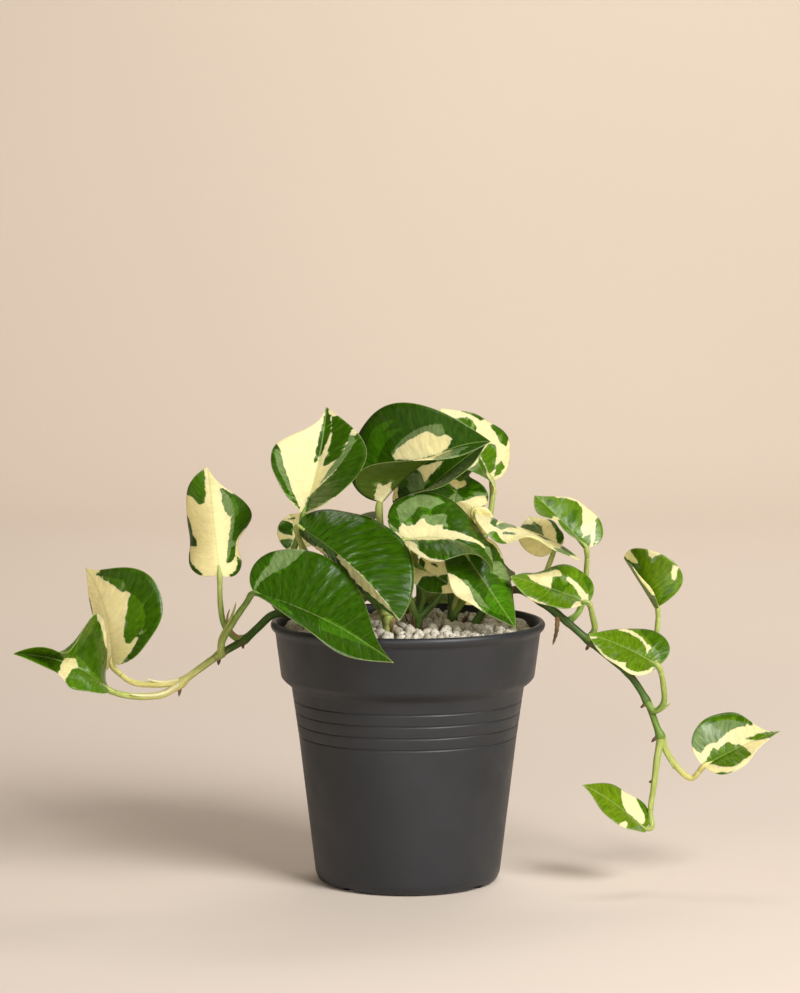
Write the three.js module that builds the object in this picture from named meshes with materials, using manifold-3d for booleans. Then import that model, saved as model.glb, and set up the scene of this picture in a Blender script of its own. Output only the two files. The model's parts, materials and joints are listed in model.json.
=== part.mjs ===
// Potted pothos with cream and green heart-shaped leaves, in a 15 cm nursery pot. Millimetres, +Z up.
// The origin is the middle of the pot's underside. +X is to the right and -Y is towards the viewer.
// Each leaf, vine and crown stem is one closed solid. Petioles are grown to their stem, and each leaf
// carries its own short knee, which meets the end of its petiole.

import * as THREE from 'three';
import { mergeVertices } from 'three/addons/utils/BufferGeometryUtils.js';
import Module from 'manifold-3d';

const wasm = await Module();
wasm.setup();

// Driving dimensions, mm
const GAP = 0.3; // clearance between pieces that touch
const POT_HEIGHT = 143.3;
const POT_RIM_RADIUS = 75.2;
const POT_WALL = 1.6;
const POT_SEGMENTS = 32;
const GROOVE_HEIGHTS = [81, 87.5, 94, 100.5];
const GROOVE_DEPTH = 0.55;
const GROOVE_HALF_WIDTH = 0.75;
const FOOT_NOTCH_WIDTH = 9;
const FOOT_NOTCH_HEIGHT = 2.2;
const FOOT_NOTCH_ANGLES = [-40, 50, 140, 230]; // degrees from the front, anticlockwise from above
const DRAIN_HOLE_RADIUS = 2;
const DRAIN_HOLE_CIRCLE = 37.5;
const DRAIN_HOLE_COUNT = 8;
const SOIL_TOP = 132.6;
const PUMICE_LOW = 134.3; // between the pebbles
const PUMICE_HIGH = 136.6; // the lowest pebble's crown
const PEBBLE_SPACING = 12.6;
const PEBBLE_CROWN = 0.66; // share of a pebble's reach that its crown takes
const LEAF_THICKNESS = 0.8;
const STEM_SIDES = 6;
const PETIOLE_SIDES = 5;
const HOLE_SIDES = 8;
const STALK_STEP = 8; // length of stalk between two rings of corners
const KNEE_REACH = 5; // how far a leaf's knee runs under its midrib
const KNEE_DEPTH = 0.7;
const KNEE_GAP = 0.5; // between the end of a petiole and the knee that carries on from it

// Shares of the way along a half blade, and across it, at which its surface is sampled
const STATIONS = [0, 0.08, 0.2, 0.36, 0.53, 0.7, 0.86, 1];
const COLUMNS = [0, 0.4, 0.74, 1];
const SMALL_STATIONS = [0, 0.08, 0.22, 0.42, 0.64, 0.84, 1];
const SMALL_COLUMNS = [0, 0.55, 1];

// One half of a leaf blade.
// width: widest reach from the midrib, mm
// fold: degrees that the half rises above the leaf's plane, at the base, extra half-way, and at the tip
// curl: degrees that it turns between midrib and margin, at the base and at the tip
// outline: basal lobe, place of the widest point, fullness and taper of the tip, as shares
// wave: height of the margin's waves in mm, and their phase in turns
function half(width, fold, curl, outline, wave) {
  const [lobe, belly, full, taper] = outline;
  return { width, fold, curl, lobe, belly, full, taper, waveHeight: wave[0], wavePhase: wave[1] };
}

// The stems: their centre line from the foot in the potting mix, radii, and root nubs
// A nub is [root radius, end radius, centre line].
const STEMS = [
  {
    name: 'vine_left', root: 2.7, end: 2.2, color: 0x6d8a3a,
    line: [
      [-56, 3, 114], [-56, 3, 126], [-56, 3, 132], [-56, 3, 139.5], [-59, 1.5, 144.5],
      [-66, -2, 147.5], [-74, -6, 146.7], [-81.5, -10.5, 140.5], [-88.5, -14, 134.5],
      [-100.5, -20, 128], [-112.5, -24, 120], [-123.5, -28, 112],
    ],
    nubs: [
      [1.3, 0.7, [[-89.5, -14, 133.5], [-89.5, -15, 129.5]]],
      [1.4, 0.8, [[-102, -20.5, 127], [-102.5, -22, 121.5]]],
      [1.4, 0.6, [[-122.5, -28, 112], [-123.5, -29, 105.5]]],
    ],
  },
  {
    name: 'vine_right', root: 2.7, end: 2.1, color: 0x5f7f38,
    line: [
      [36, 3, 114], [36, 3, 126], [36, 3, 132], [36, 3, 139], [39, 2.5, 144.5], [45, 1, 152],
      [53, 0, 158.5], [61, -1, 160], [68, -2, 156.5], [76.5, -4, 151], [85.5, -5, 144],
      [99.5, -6, 132], [110, -7, 123.5], [121, -8, 114], [131, -8, 98.5], [136.5, -8, 84],
      [139, -8, 78],
    ],
    nubs: [
      [1.6, 0.8, [[82, -5, 148], [81.5, -6, 143], [81, -6, 137.5], [79, -7, 130.5]]],
      [1.4, 0.7, [[99.5, -6, 131.5], [97, -7, 127.5]]],
      [1.3, 0.7, [[130, -8, 98.5], [127, -8, 96]]],
      [1.3, 0.7, [[137, -8, 81], [133, -8, 77]]],
      [1.2, 0.7, [[134.5, -11, 56], [131.5, -11, 55.5]]],
    ],
  },
  {
    name: 'crown_stem_left', root: 3.6, end: 3, color: 0x8b9a52,
    line: [
      [-10.5, -30, 114], [-10.5, -30, 126], [-10.5, -30, 140], [-10.5, -30, 150],
    ],
    nubs: [],
  },
  {
    name: 'crown_stem_front', root: 3.4, end: 2.8, color: 0x8b9a52,
    line: [
      [5.5, -20, 114], [5.5, -20, 126], [5.5, -20, 140], [5.5, -20, 150],
    ],
    nubs: [],
  },
  {
    name: 'crown_stem_right', root: 3.4, end: 2.8, color: 0x8b9a52,
    line: [
      [24.5, 8, 114], [24.5, 8, 126], [24.5, 8, 140], [24.5, 8, 150],
    ],
    nubs: [],
  },
  {
    name: 'crown_stem_back', root: 3.4, end: 2.8, color: 0x8b9a52,
    line: [
      [-2, 38, 114], [-2, 38, 126], [-2, 38, 140], [-2, 38, 150],
    ],
    nubs: [],
  },
];

// The leaves. face is the direction that the upper face looks at the middle. arch, hook and sway bend the
// midrib towards the face, at the tip and sideways, as shares of its length. twist turns it, in degrees.
const LEAVES = [
  {
    name: 'leaf_left_upright', base: [-102, -14, 170], tip: [-108.5, -8, 228], face: [0.05, -0.99, 0.11],
    arch: 0.02, hook: -0.01, sway: 0, twist: -2, small: false, color: 0xe6dfa8,
    left: half(23, [-14, -18, -8], [-46, -46], [0.02, 0.39, 0.53, 0.07], [0.8, 0.21]),
    right: half(22, [-16, -4, 20], [-76, -24], [0.06, 0.45, 0.29, 0.31], [-2.6, 0.72]),
    stem: 'vine_left', petiole: {
      root: 1.9, tip: 1.4, knee: 6, line: [
        [-88, -13.5, 134.5], [-94, -15, 136], [-99.5, -16, 143], [-101.5, -16, 154],
      ],
    },
  },
  {
    name: 'leaf_left_cream', base: [-160.5, -21, 122], tip: [-176, 0, 172], face: [-0.6, -0.79, 0.14],
    arch: -0.05, hook: -0.02, sway: 0.05, twist: 6, small: false, color: 0xdcd79a,
    left: half(24, [2, -6, -12], [-32, -40], [0.1, 0.36, 0.29, 0.23], [0.7, 0.46]),
    right: half(36, [14, -16, 20], [-30, -16], [0.06, 0.51, 0.23, 0.19], [1.3, 0.11]),
    stem: 'vine_left', petiole: {
      root: 1.9, tip: 1.5, knee: 8.5, line: [
        [-121.5, -27.5, 113.5], [-134, -28, 112], [-148.5, -27, 113], [-156.5, -24, 118],
      ],
    },
  },
  {
    name: 'leaf_left_end', base: [-159, -51, 112.5], tip: [-207, -75, 135.5], face: [0.55, -0.39, 0.74],
    arch: 0.04, hook: -0.14, sway: 0.17, twist: -20, small: false, color: 0x4f8a2c,
    left: half(21.5, [20, -4, 26], [-50, 12], [0.02, 0.38, 0.34, 0.18], [-1.4, 0.54]),
    right: half(31, [-14, 64, 96], [-36, 38], [0.02, 0.26, 0.57, 0.13], [2.3, 0.99]),
    stem: 'vine_left', petiole: {
      root: 2.2, tip: 1.6, knee: 4, line: [
        [-121.5, -28, 113], [-132, -30, 107], [-142.5, -35, 106.5], [-152, -42, 108.5],
      ],
    },
  },
  {
    name: 'leaf_front_left', base: [-81, -62, 166], tip: [-7.5, -96, 134], face: [0.25, -0.32, 0.91],
    arch: 0.02, hook: -0.03, sway: -0.08, twist: 12, small: false, color: 0x4f8a2c,
    left: half(34.5, [34, 6, 2], [14, -12], [0.09, 0.28, 0.11, 0.35], [1.3, 0.75]),
    right: half(26.5, [24, 8, -8], [-22, -10], [0.02, 0.43, 0.41, 0.11], [0.8, 0.09]),
    stem: 'vine_left', petiole: {
      root: 2, tip: 1.6, knee: 11, line: [
        [-101, -21, 127], [-100, -28, 135.5], [-92.5, -40, 149], [-86, -50, 159],
      ],
    },
  },
  {
    name: 'leaf_crown_left', base: [-56, -25, 204.5], tip: [-44.5, 8, 259.5], face: [0.1, -0.86, 0.5],
    arch: -0.04, hook: 0.02, sway: 0.03, twist: 0, small: false, color: 0x4f8a2c,
    left: half(28.5, [50, -4, 22], [-24, -18], [0.03, 0.37, 0.13, 0.28], [0.9, 0.21]),
    right: half(30.5, [62, -2, 26], [-24, -12], [0.04, 0.42, 0.4, 0.15], [0.2, 0.21]),
    stem: 'vine_left', petiole: {
      root: 2, tip: 1.5, knee: 5, line: [
        [-66, -2, 147.5], [-72, -3, 151.5], [-73.5, -5, 158], [-66, -12, 174.5], [-60, -18, 189],
      ],
    },
  },
  {
    name: 'leaf_left_inner', base: [-58, 7, 183], tip: [-65, 19, 199.5], face: [-0.04, -0.82, 0.58],
    arch: 0.08, hook: 0.01, sway: 0.01, twist: 2, small: true, color: 0x4f8a2c,
    left: half(12, [24, 2, 28], [-12, -10], [0.1, 0.37, 0.35, 0.19], [0.2, 0.02]),
    right: half(14, [28, 2, 24], [-8, -12], [0.1, 0.42, 0.36, 0.2], [0.6, 0.96]),
    stem: 'vine_left', petiole: {
      root: 1.6, tip: 1.3, knee: 4.5, line: [
        [-57, 2.5, 140.5], [-64, 5, 147], [-67, 6, 156], [-66, 6.5, 166], [-61, 7, 176],
      ],
    },
  },
  {
    name: 'leaf_front_centre', base: [-59, -34, 198.5], tip: [-4.5, -65.5, 151.5], face: [-0.17, -0.9, 0.4],
    arch: 0.1, hook: -0.01, sway: -0.04, twist: -14, small: false, color: 0x4f8a2c,
    left: half(34.5, [-34, 2, 2], [-20, -22], [0.08, 0.42, 0.5, 0.06], [0.7, 0.75]),
    right: half(27, [-60, 2, -60], [-50, -58], [0.03, 0.34, 0.3, 0.23], [0.5, 0.12]),
    stem: 'crown_stem_left', petiole: {
      root: 2, tip: 1.6, knee: 10, line: [
        [-10.5, -30, 142], [-17, -22, 155], [-37, -14, 167], [-55, -18, 182.5],
      ],
    },
  },
  {
    name: 'leaf_crown_top', base: [-15, -12, 209.5], tip: [44.5, -23, 243], face: [-0.51, -0.29, 0.81],
    arch: 0.09, hook: 0.04, sway: -0.03, twist: 18, small: false, color: 0x4f8a2c,
    left: half(39, [54, 4, 74], [-16, 4], [0.1, 0.31, 0.38, 0.27], [0.4, 0.01]),
    right: half(34, [58, -4, 12], [-12, -4], [0.02, 0.35, 0.4, 0.13], [0.4, 0.06]),
    stem: 'crown_stem_left', petiole: {
      root: 2.9, tip: 1.9, knee: 10, line: [
        [-11.5, -30, 149.5], [-12, -27, 163], [-14, -22, 181.5], [-15, -18, 197.5],
      ],
    },
  },
  {
    name: 'leaf_crown_under_top', base: [-1.5, 8, 202], tip: [43, -3, 241], face: [-0.61, -0.59, 0.53],
    arch: 0.04, hook: -0.01, sway: 0, twist: 6, small: false, color: 0x4f8a2c,
    left: half(26, [12, 0, 12], [-18, -18], [0.1, 0.36, 0.32, 0.22], [0.3, 0.75]),
    right: half(25, [50, 4, 14], [4, -8], [0.1, 0.36, 0.37, 0.17], [1.3, 0.77]),
    stem: 'crown_stem_front', petiole: {
      root: 2.2, tip: 1.6, knee: 8.5, line: [
        [5.5, -20, 148], [6.5, -12, 161.5], [2.5, -3, 185],
      ],
    },
  },
  {
    name: 'leaf_crown_right', base: [46.5, 33, 217], tip: [17.5, 26, 257.5], face: [0.51, -0.84, 0.22],
    arch: 0.09, hook: 0, sway: 0.01, twist: -10, small: false, color: 0x4f8a2c,
    left: half(22, [50, 0, 8], [4, -20], [0.1, 0.37, 0.32, 0.22], [1, 0.9]),
    right: half(23.5, [4, -2, -4], [-6, -34], [0.08, 0.33, 0.33, 0.2], [1.4, 0.71]),
    stem: 'crown_stem_right', petiole: {
      root: 2.2, tip: 1.6, knee: 7.5, line: [
        [24.5, 8, 144.5], [32, 14, 161], [42, 25, 184.5], [46.5, 30, 203.5],
      ],
    },
  },
  {
    name: 'leaf_front_right_upper', base: [-3, -37, 191], tip: [45.5, -42, 174], face: [0.3, -0.21, 0.93],
    arch: 0.15, hook: 0.06, sway: -0.08, twist: 2, small: false, color: 0x4f8a2c,
    left: half(29, [46, 2, 4], [-2, -28], [0.12, 0.37, 0.35, 0.19], [1.2, 0.62]),
    right: half(28.5, [16, -14, 34], [-42, -34], [0, 0.4, 0.29, 0.23], [0.4, 0.36]),
    stem: 'crown_stem_front', petiole: {
      root: 2.1, tip: 1.6, knee: 9.5, line: [
        [5.5, -20, 145], [1, -27, 158], [-3, -37, 175],
      ],
    },
  },
  {
    name: 'leaf_front_right_lower', base: [30.5, -27, 183], tip: [57.5, -43, 144.5], face: [0.3, -0.79, 0.54],
    arch: 0, hook: -0.01, sway: -0.01, twist: -6, small: false, color: 0x4f8a2c,
    left: half(20, [16, -10, -10], [-28, -36], [0.13, 0.3, 0.34, 0.2], [0.9, 0.15]),
    right: half(21, [18, -2, 16], [-10, -6], [0.09, 0.32, 0.35, 0.18], [2, 0.05]),
    stem: 'crown_stem_front', petiole: {
      root: 2.1, tip: 1.6, knee: 9, line: [
        [5.5, -20, 147], [15.5, -18, 156.5], [24, -20, 170.5],
      ],
    },
  },
  {
    name: 'leaf_inner_right', base: [24.5, 12, 205], tip: [36.5, 31, 223], face: [-0.12, -0.64, 0.76],
    arch: 0.02, hook: -0.01, sway: -0.08, twist: -8, small: true, color: 0x4f8a2c,
    left: half(17, [12, 0, 12], [-18, -18], [0.1, 0.36, 0.32, 0.22], [0.3, 0]),
    right: half(19, [2, 0, 50], [-24, -16], [0.1, 0.32, 0.05, 0.42], [0.3, 0]),
    stem: 'crown_stem_right', petiole: {
      root: 1.9, tip: 1.5, knee: 5, line: [
        [24.5, 8, 147.5], [22, 10, 169.5], [21.5, 10, 191.5],
      ],
    },
  },
  {
    name: 'leaf_inner_cream', base: [36, 1, 204], tip: [31, 8, 186], face: [0.19, 0.93, 0.31],
    arch: 0.05, hook: 0, sway: 0, twist: 0, small: true, color: 0xe6dfa8,
    left: half(12, [10, 0, 5], [-10, -10], [0.2, 0.36, 0.3, 0.22], [0.6, 0]),
    right: half(12, [10, 0, 5], [-10, -10], [0.2, 0.36, 0.3, 0.22], [0.6, 0]),
    stem: 'crown_stem_right', petiole: {
      root: 1.7, tip: 1.4, knee: 6.5, line: [
        [24.5, 8, 146], [29.5, 2, 165], [32, -3, 185], [34.5, -4, 196.5],
      ],
    },
  },
  {
    name: 'leaf_right_edge_on', base: [37, -14, 204], tip: [93.5, -20, 178.5], face: [0.41, 0.01, 0.91],
    arch: 0.02, hook: 0, sway: -0.04, twist: 16, small: true, color: 0x4f8a2c,
    left: half(15.5, [8, 0, 12], [-26, -16], [0.02, 0.36, 0.34, 0.21], [-0.6, 0.89]),
    right: half(20.5, [-18, 4, -6], [-40, 44], [0.02, 0.35, 0.41, 0.14], [3, 0.17]),
    stem: 'crown_stem_right', petiole: {
      root: 1.7, tip: 1.4, knee: 4, line: [
        [24.5, 8, 143.5], [34, 0, 160], [40.5, -6, 179.5], [39, -10, 194],
      ],
    },
  },
  {
    name: 'leaf_right_small', base: [80, 8, 182.5], tip: [67, 22, 198], face: [-0.04, -0.76, 0.65],
    arch: 0.06, hook: 0, sway: -0.04, twist: 0, small: true, color: 0x4f8a2c,
    left: half(14.5, [14, 0, 18], [-18, -16], [0.1, 0.38, 0.35, 0.19], [0.3, 0.98]),
    right: half(11.5, [-4, -2, 12], [-28, -20], [0.09, 0.38, 0.31, 0.22], [0.5, 0.94]),
    stem: 'vine_right', petiole: {
      root: 1.7, tip: 1.4, knee: 4.5, line: [
        [72, -3, 153.5], [74, 3, 160.5], [76, 6, 169],
      ],
    },
  },
  {
    name: 'leaf_right_upper', base: [96.5, -8, 184.5], tip: [69, -1, 212], face: [0.29, -0.82, 0.5],
    arch: 0.02, hook: 0, sway: 0.01, twist: -4, small: false, color: 0x4f8a2c,
    left: half(19.5, [56, 10, 26], [-8, 0], [0.04, 0.4, 0.45, 0.09], [1.1, 0.16]),
    right: half(18.5, [14, -4, 8], [-16, -24], [0.11, 0.38, 0.27, 0.21], [0.6, 0.96]),
    stem: 'vine_right', petiole: {
      root: 1.8, tip: 1.4, knee: 7, line: [
        [87.5, -5, 143], [93.5, 2, 147.5], [96.5, 3, 156.5], [97.5, 1, 169.5],
      ],
    },
  },
  {
    name: 'leaf_right_over_rim', base: [97.5, -19, 155], tip: [55, -29, 171], face: [0.41, -0.47, 0.78],
    arch: 0, hook: 0, sway: 0.04, twist: -12, small: false, color: 0x4f8a2c,
    left: half(16.5, [32, -4, -12], [-26, -10], [0.02, 0.36, 0.41, 0.04], [1.1, 0.15]),
    right: half(20, [28, -2, -16], [2, -38], [0.04, 0.34, 0.33, 0.21], [1.7, 0.55]),
    stem: 'vine_right', petiole: {
      root: 1.9, tip: 1.5, knee: 4, line: [
        [98, -6, 133], [101.5, -9, 139], [100, -14, 148],
      ],
    },
  },
  {
    name: 'leaf_right_middle', base: [135, -21, 121.5], tip: [98, -17, 138], face: [0.25, -0.65, 0.72],
    arch: 0, hook: 0, sway: 0.05, twist: -2, small: false, color: 0x4f8a2c,
    left: half(18.5, [22, 6, 2], [-34, -2], [0.02, 0.35, 0.44, 0.07], [0.6, 0.29]),
    right: half(18, [26, -4, -6], [-12, -30], [0.07, 0.32, 0.32, 0.22], [-0.3, 0.28]),
    stem: 'vine_right', petiole: {
      root: 1.8, tip: 1.5, knee: 5, line: [
        [130, -8, 100], [134.5, -10, 94.5], [139, -13, 99], [139, -15, 108],
      ],
    },
  },
  {
    name: 'leaf_right_upright', base: [136.5, 2, 150], tip: [119.5, 23, 175], face: [-0.07, -0.79, 0.61],
    arch: 0.04, hook: 0.04, sway: -0.01, twist: -2, small: false, color: 0x4f8a2c,
    left: half(17.5, [78, 2, 76], [10, -14], [0.08, 0.36, 0.32, 0.22], [0.5, 0.03]),
    right: half(22.5, [32, 0, 68], [-28, 0], [0.02, 0.32, 0.46, 0.05], [0.1, 0]),
    stem: 'vine_right', petiole: {
      root: 1.7, tip: 1.4, knee: 5.5, line: [
        [119.5, -8, 115], [127, -3, 119.5], [134, 2, 126.5], [136.5, 3, 137.5],
      ],
    },
  },
  {
    name: 'leaf_right_outer', base: [162, -8, 64], tip: [203, -10, 83.5], face: [-0.31, -0.76, 0.57],
    arch: -0.04, hook: 0.01, sway: -0.05, twist: 0, small: false, color: 0x4f8a2c,
    left: half(23, [34, -2, 0], [-12, -22], [0.05, 0.44, 0.15, 0.36], [1, 0.78]),
    right: half(19.5, [44, 2, 36], [-38, -10], [0.02, 0.32, 0.29, 0.24], [0.7, 0.76]),
    stem: 'vine_right', petiole: {
      root: 2, tip: 1.5, knee: 4.5, line: [
        [138.5, -8, 80], [141, -7, 72.5], [149, -6, 61], [155.5, -5, 56.5],
      ],
    },
  },
  {
    name: 'leaf_right_lowest', base: [129, -20, 31.5], tip: [94.5, -24, 56.5], face: [0.44, -0.75, 0.49],
    arch: 0.01, hook: 0.01, sway: 0.04, twist: -10, small: true, color: 0x4f8a2c,
    left: half(14, [42, -4, 16], [-20, -18], [0.02, 0.36, 0.3, 0.24], [-0.7, 0.69]),
    right: half(15, [-2, -4, -6], [-10, -30], [0.02, 0.35, 0.33, 0.2], [0.8, 0.95]),
    stem: 'vine_right', petiole: {
      root: 2.1, tip: 1.5, knee: 16, line: [
        [138.5, -8, 80], [136.5, -9, 70.5], [134.5, -11, 55], [132.5, -12, 39.5], [133, -15, 31.5],
      ],
    },
  },
  {
    name: 'leaf_inner_front', base: [5.5, -23, 175.5], tip: [29, -30, 161.5], face: [0.08, -0.83, 0.55],
    arch: 0.05, hook: 0, sway: 0, twist: 0, small: true, color: 0x4f8a2c,
    left: half(10, [12, 0, 12], [-20, -20], [0.1, 0.36, 0.3, 0.22], [0.6, 0]),
    right: half(11, [12, 0, 12], [-20, -20], [0.1, 0.36, 0.3, 0.22], [0.6, 0]),
    stem: 'crown_stem_front', petiole: {
      root: 1.6, tip: 1.3, knee: 5, line: [
        [5.5, -20, 149], [8.5, -22, 159.5], [5, -20, 167.5],
      ],
    },
  },
  {
    name: 'leaf_back_left', base: [-30, 32, 196], tip: [-44, 72, 172], face: [-0.32, 0.4, 0.86],
    arch: 0.05, hook: 0, sway: 0, twist: 0, small: true, color: 0x4f8a2c,
    left: half(19, [12, 0, 12], [-20, -20], [0.1, 0.36, 0.3, 0.22], [0.6, 0]),
    right: half(19, [12, 0, 12], [-20, -20], [0.1, 0.36, 0.3, 0.22], [0.6, 0]),
    stem: 'crown_stem_back', petiole: {
      root: 1.9, tip: 1.5, knee: 7.5, line: [
        [-2, 38, 144], [-12, 37, 162], [-24, 32, 182],
      ],
    },
  },
  {
    name: 'leaf_back_centre', base: [12, 36, 192], tip: [24, 80, 168], face: [0.2, 0.43, 0.88],
    arch: 0.05, hook: 0, sway: 0, twist: 0, small: true, color: 0x4f8a2c,
    left: half(19, [12, 0, 12], [-20, -20], [0.1, 0.36, 0.3, 0.22], [0.6, 0]),
    right: half(19, [12, 0, 12], [-20, -20], [0.1, 0.36, 0.3, 0.22], [0.6, 0]),
    stem: 'crown_stem_back', petiole: {
      root: 1.9, tip: 1.5, knee: 7.5, line: [
        [-2, 38, 148], [2, 35, 168], [8, 33, 184],
      ],
    },
  },
  {
    name: 'leaf_back_right', base: [38, 34, 176], tip: [58, 68, 154], face: [0.45, 0.29, 0.85],
    arch: 0.05, hook: 0, sway: 0, twist: 0, small: true, color: 0x4f8a2c,
    left: half(14, [12, 0, 12], [-20, -20], [0.1, 0.36, 0.3, 0.22], [0.6, 0]),
    right: half(14, [12, 0, 12], [-20, -20], [0.1, 0.36, 0.3, 0.22], [0.6, 0]),
    stem: 'crown_stem_back', petiole: {
      root: 1.8, tip: 1.5, knee: 7, line: [
        [-2, 38, 142], [14, 36, 152], [30, 32, 166],
      ],
    },
  },
  {
    name: 'leaf_back_low_left', base: [-24, 52, 164], tip: [-34, 92, 132], face: [-0.19, 0.58, 0.79],
    arch: 0.05, hook: 0, sway: 0, twist: 0, small: true, color: 0x4f8a2c,
    left: half(17, [12, 0, 12], [-20, -20], [0.1, 0.36, 0.3, 0.22], [0.6, 0]),
    right: half(17, [12, 0, 12], [-20, -20], [0.1, 0.36, 0.3, 0.22], [0.6, 0]),
    stem: 'crown_stem_back', petiole: {
      root: 1.8, tip: 1.5, knee: 8, line: [
        [-2, 38, 141], [-12, 44, 148], [-20, 48, 158],
      ],
    },
  },
  {
    name: 'leaf_back_low_right', base: [20, 56, 162], tip: [26, 94, 126], face: [0.11, 0.67, 0.73],
    arch: 0.05, hook: 0, sway: 0, twist: 0, small: true, color: 0x4f8a2c,
    left: half(17, [12, 0, 12], [-20, -20], [0.1, 0.36, 0.3, 0.22], [0.6, 0]),
    right: half(17, [12, 0, 12], [-20, -20], [0.1, 0.36, 0.3, 0.22], [0.6, 0]),
    stem: 'crown_stem_back', petiole: {
      root: 1.8, tip: 1.5, knee: 8, line: [
        [-2, 38, 143], [6, 44, 150], [15, 51, 158],
      ],
    },
  },
];

const WAVES_PER_LEAF = 2;
const STRAIGHT = 1e-5; // radians of curl that count as flat

// Solids

function toSolid(geometry) {
  const bare = geometry.clone();
  bare.deleteAttribute('normal');
  bare.deleteAttribute('uv');
  const merged = mergeVertices(bare, 1e-4);
  const corners = [];
  for (let i = 0; i < merged.index.count; i += 3) {
    const [a, b, c] = [0, 1, 2].map((k) => merged.index.getX(i + k));
    if (a !== b && b !== c && c !== a) {
      corners.push(a, b, c);
    }
  }
  const vertProperties = new Float32Array(merged.attributes.position.array);
  return new wasm.Manifold(new wasm.Mesh({ numProp: 3, vertProperties, triVerts: new Uint32Array(corners) }));
}

function toGeometry(solid) {
  const mesh = solid.getMesh();
  const geometry = new THREE.BufferGeometry();
  geometry.setAttribute('position', new THREE.BufferAttribute(new Float32Array(mesh.vertProperties), 3));
  geometry.setIndex(new THREE.BufferAttribute(new Uint32Array(mesh.triVerts), 1));
  geometry.computeVertexNormals();
  return geometry;
}

function joined(solids) {
  return solids.reduce((whole, next) => whole.add(next));
}

const vector = (p) => new THREE.Vector3(...p);

// A round stalk along a curve, tapering from one radius to the other
function stalk(curve, startRadius, endRadius, sides, step) {
  const steps = Math.max(2, Math.round(curve.getLength() / step));
  const section = new THREE.Shape();
  for (let i = 0; i < sides; i += 1) {
    const angle = (i / sides) * 2 * Math.PI;
    section[i ? 'lineTo' : 'moveTo'](startRadius * Math.cos(angle), startRadius * Math.sin(angle));
  }
  const geometry = new THREE.ExtrudeGeometry(section, { steps, bevelEnabled: false, extrudePath: curve });
  const rings = curve.getSpacedPoints(steps);
  const position = geometry.attributes.position;
  const point = new THREE.Vector3();
  for (let i = 0; i < position.count; i += 1) {
    point.fromBufferAttribute(position, i);
    const distances = rings.map((ring) => ring.distanceToSquared(point));
    const nearest = distances.indexOf(Math.min(...distances));
    const radius = THREE.MathUtils.lerp(startRadius, endRadius, nearest / steps);
    point.sub(rings[nearest]).multiplyScalar(radius / startRadius).add(rings[nearest]);
    position.setXYZ(i, point.x, point.y, point.z);
  }
  return toSolid(geometry);
}

// The stretch of a curve between two distances from its start
function stretch(curve, from, to) {
  const length = curve.getLength();
  const count = Math.max(3, Math.round((to - from) / 3));
  const points = [];
  for (let i = 0; i <= count; i += 1) {
    points.push(curve.getPointAt((from + ((to - from) * i) / count) / length));
  }
  return new THREE.CatmullRomCurve3(points);
}

// Leaf blade

function outlinePoint(blade, length, share) {
  const { width, lobe, belly, full, taper } = blade;
  const widest = new THREE.Vector2(width, belly * length);
  const lower = new THREE.CubicBezierCurve(
    new THREE.Vector2(0, 0),
    new THREE.Vector2(0.3 * width, -1.45 * lobe * length),
    new THREE.Vector2(width, (-0.75 * lobe - 0.02) * length),
    widest,
  );
  const upper = new THREE.CubicBezierCurve(
    widest,
    new THREE.Vector2(width, (belly + 0.3) * length),
    new THREE.Vector2(full * width, (1 - taper) * length),
    new THREE.Vector2(0, length),
  );
  return share < 0.45 ? lower.getPoint(share / 0.45) : upper.getPoint((share - 0.45) / 0.55);
}

function midribOf(leaf) {
  const base = vector(leaf.base);
  const chord = vector(leaf.tip).sub(base);
  const length = chord.length();
  const along = chord.clone().normalize();
  const face = vector(leaf.face);
  face.addScaledVector(along, -face.dot(along)).normalize();
  const across = along.clone().cross(face);
  const control = (share, rise) =>
    base
      .clone()
      .addScaledVector(chord, share)
      .addScaledVector(face, rise * length)
      .addScaledVector(across, 1.33 * leaf.sway * length);
  const curve = new THREE.CubicBezierCurve3(
    base,
    control(0.33, 1.33 * leaf.arch),
    control(0.7, 1.33 * leaf.arch + leaf.hook),
    vector(leaf.tip),
  );
  return { curve, length: curve.getLength(), face };
}

// The midrib's place and directions at a distance from the base
function frameAt(leaf, midrib, distance) {
  const along = THREE.MathUtils.clamp(distance, 0, midrib.length);
  const share = along / midrib.length;
  const tangent = midrib.curve.getTangentAt(share);
  const place = midrib.curve.getPointAt(share).addScaledVector(tangent, distance - along);
  const up = midrib.face.clone().addScaledVector(tangent, -midrib.face.dot(tangent)).normalize();
  up.applyAxisAngle(tangent, THREE.MathUtils.degToRad(leaf.twist * (share - 0.5)));
  return { place, tangent, up, out: tangent.clone().cross(up), share };
}

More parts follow.
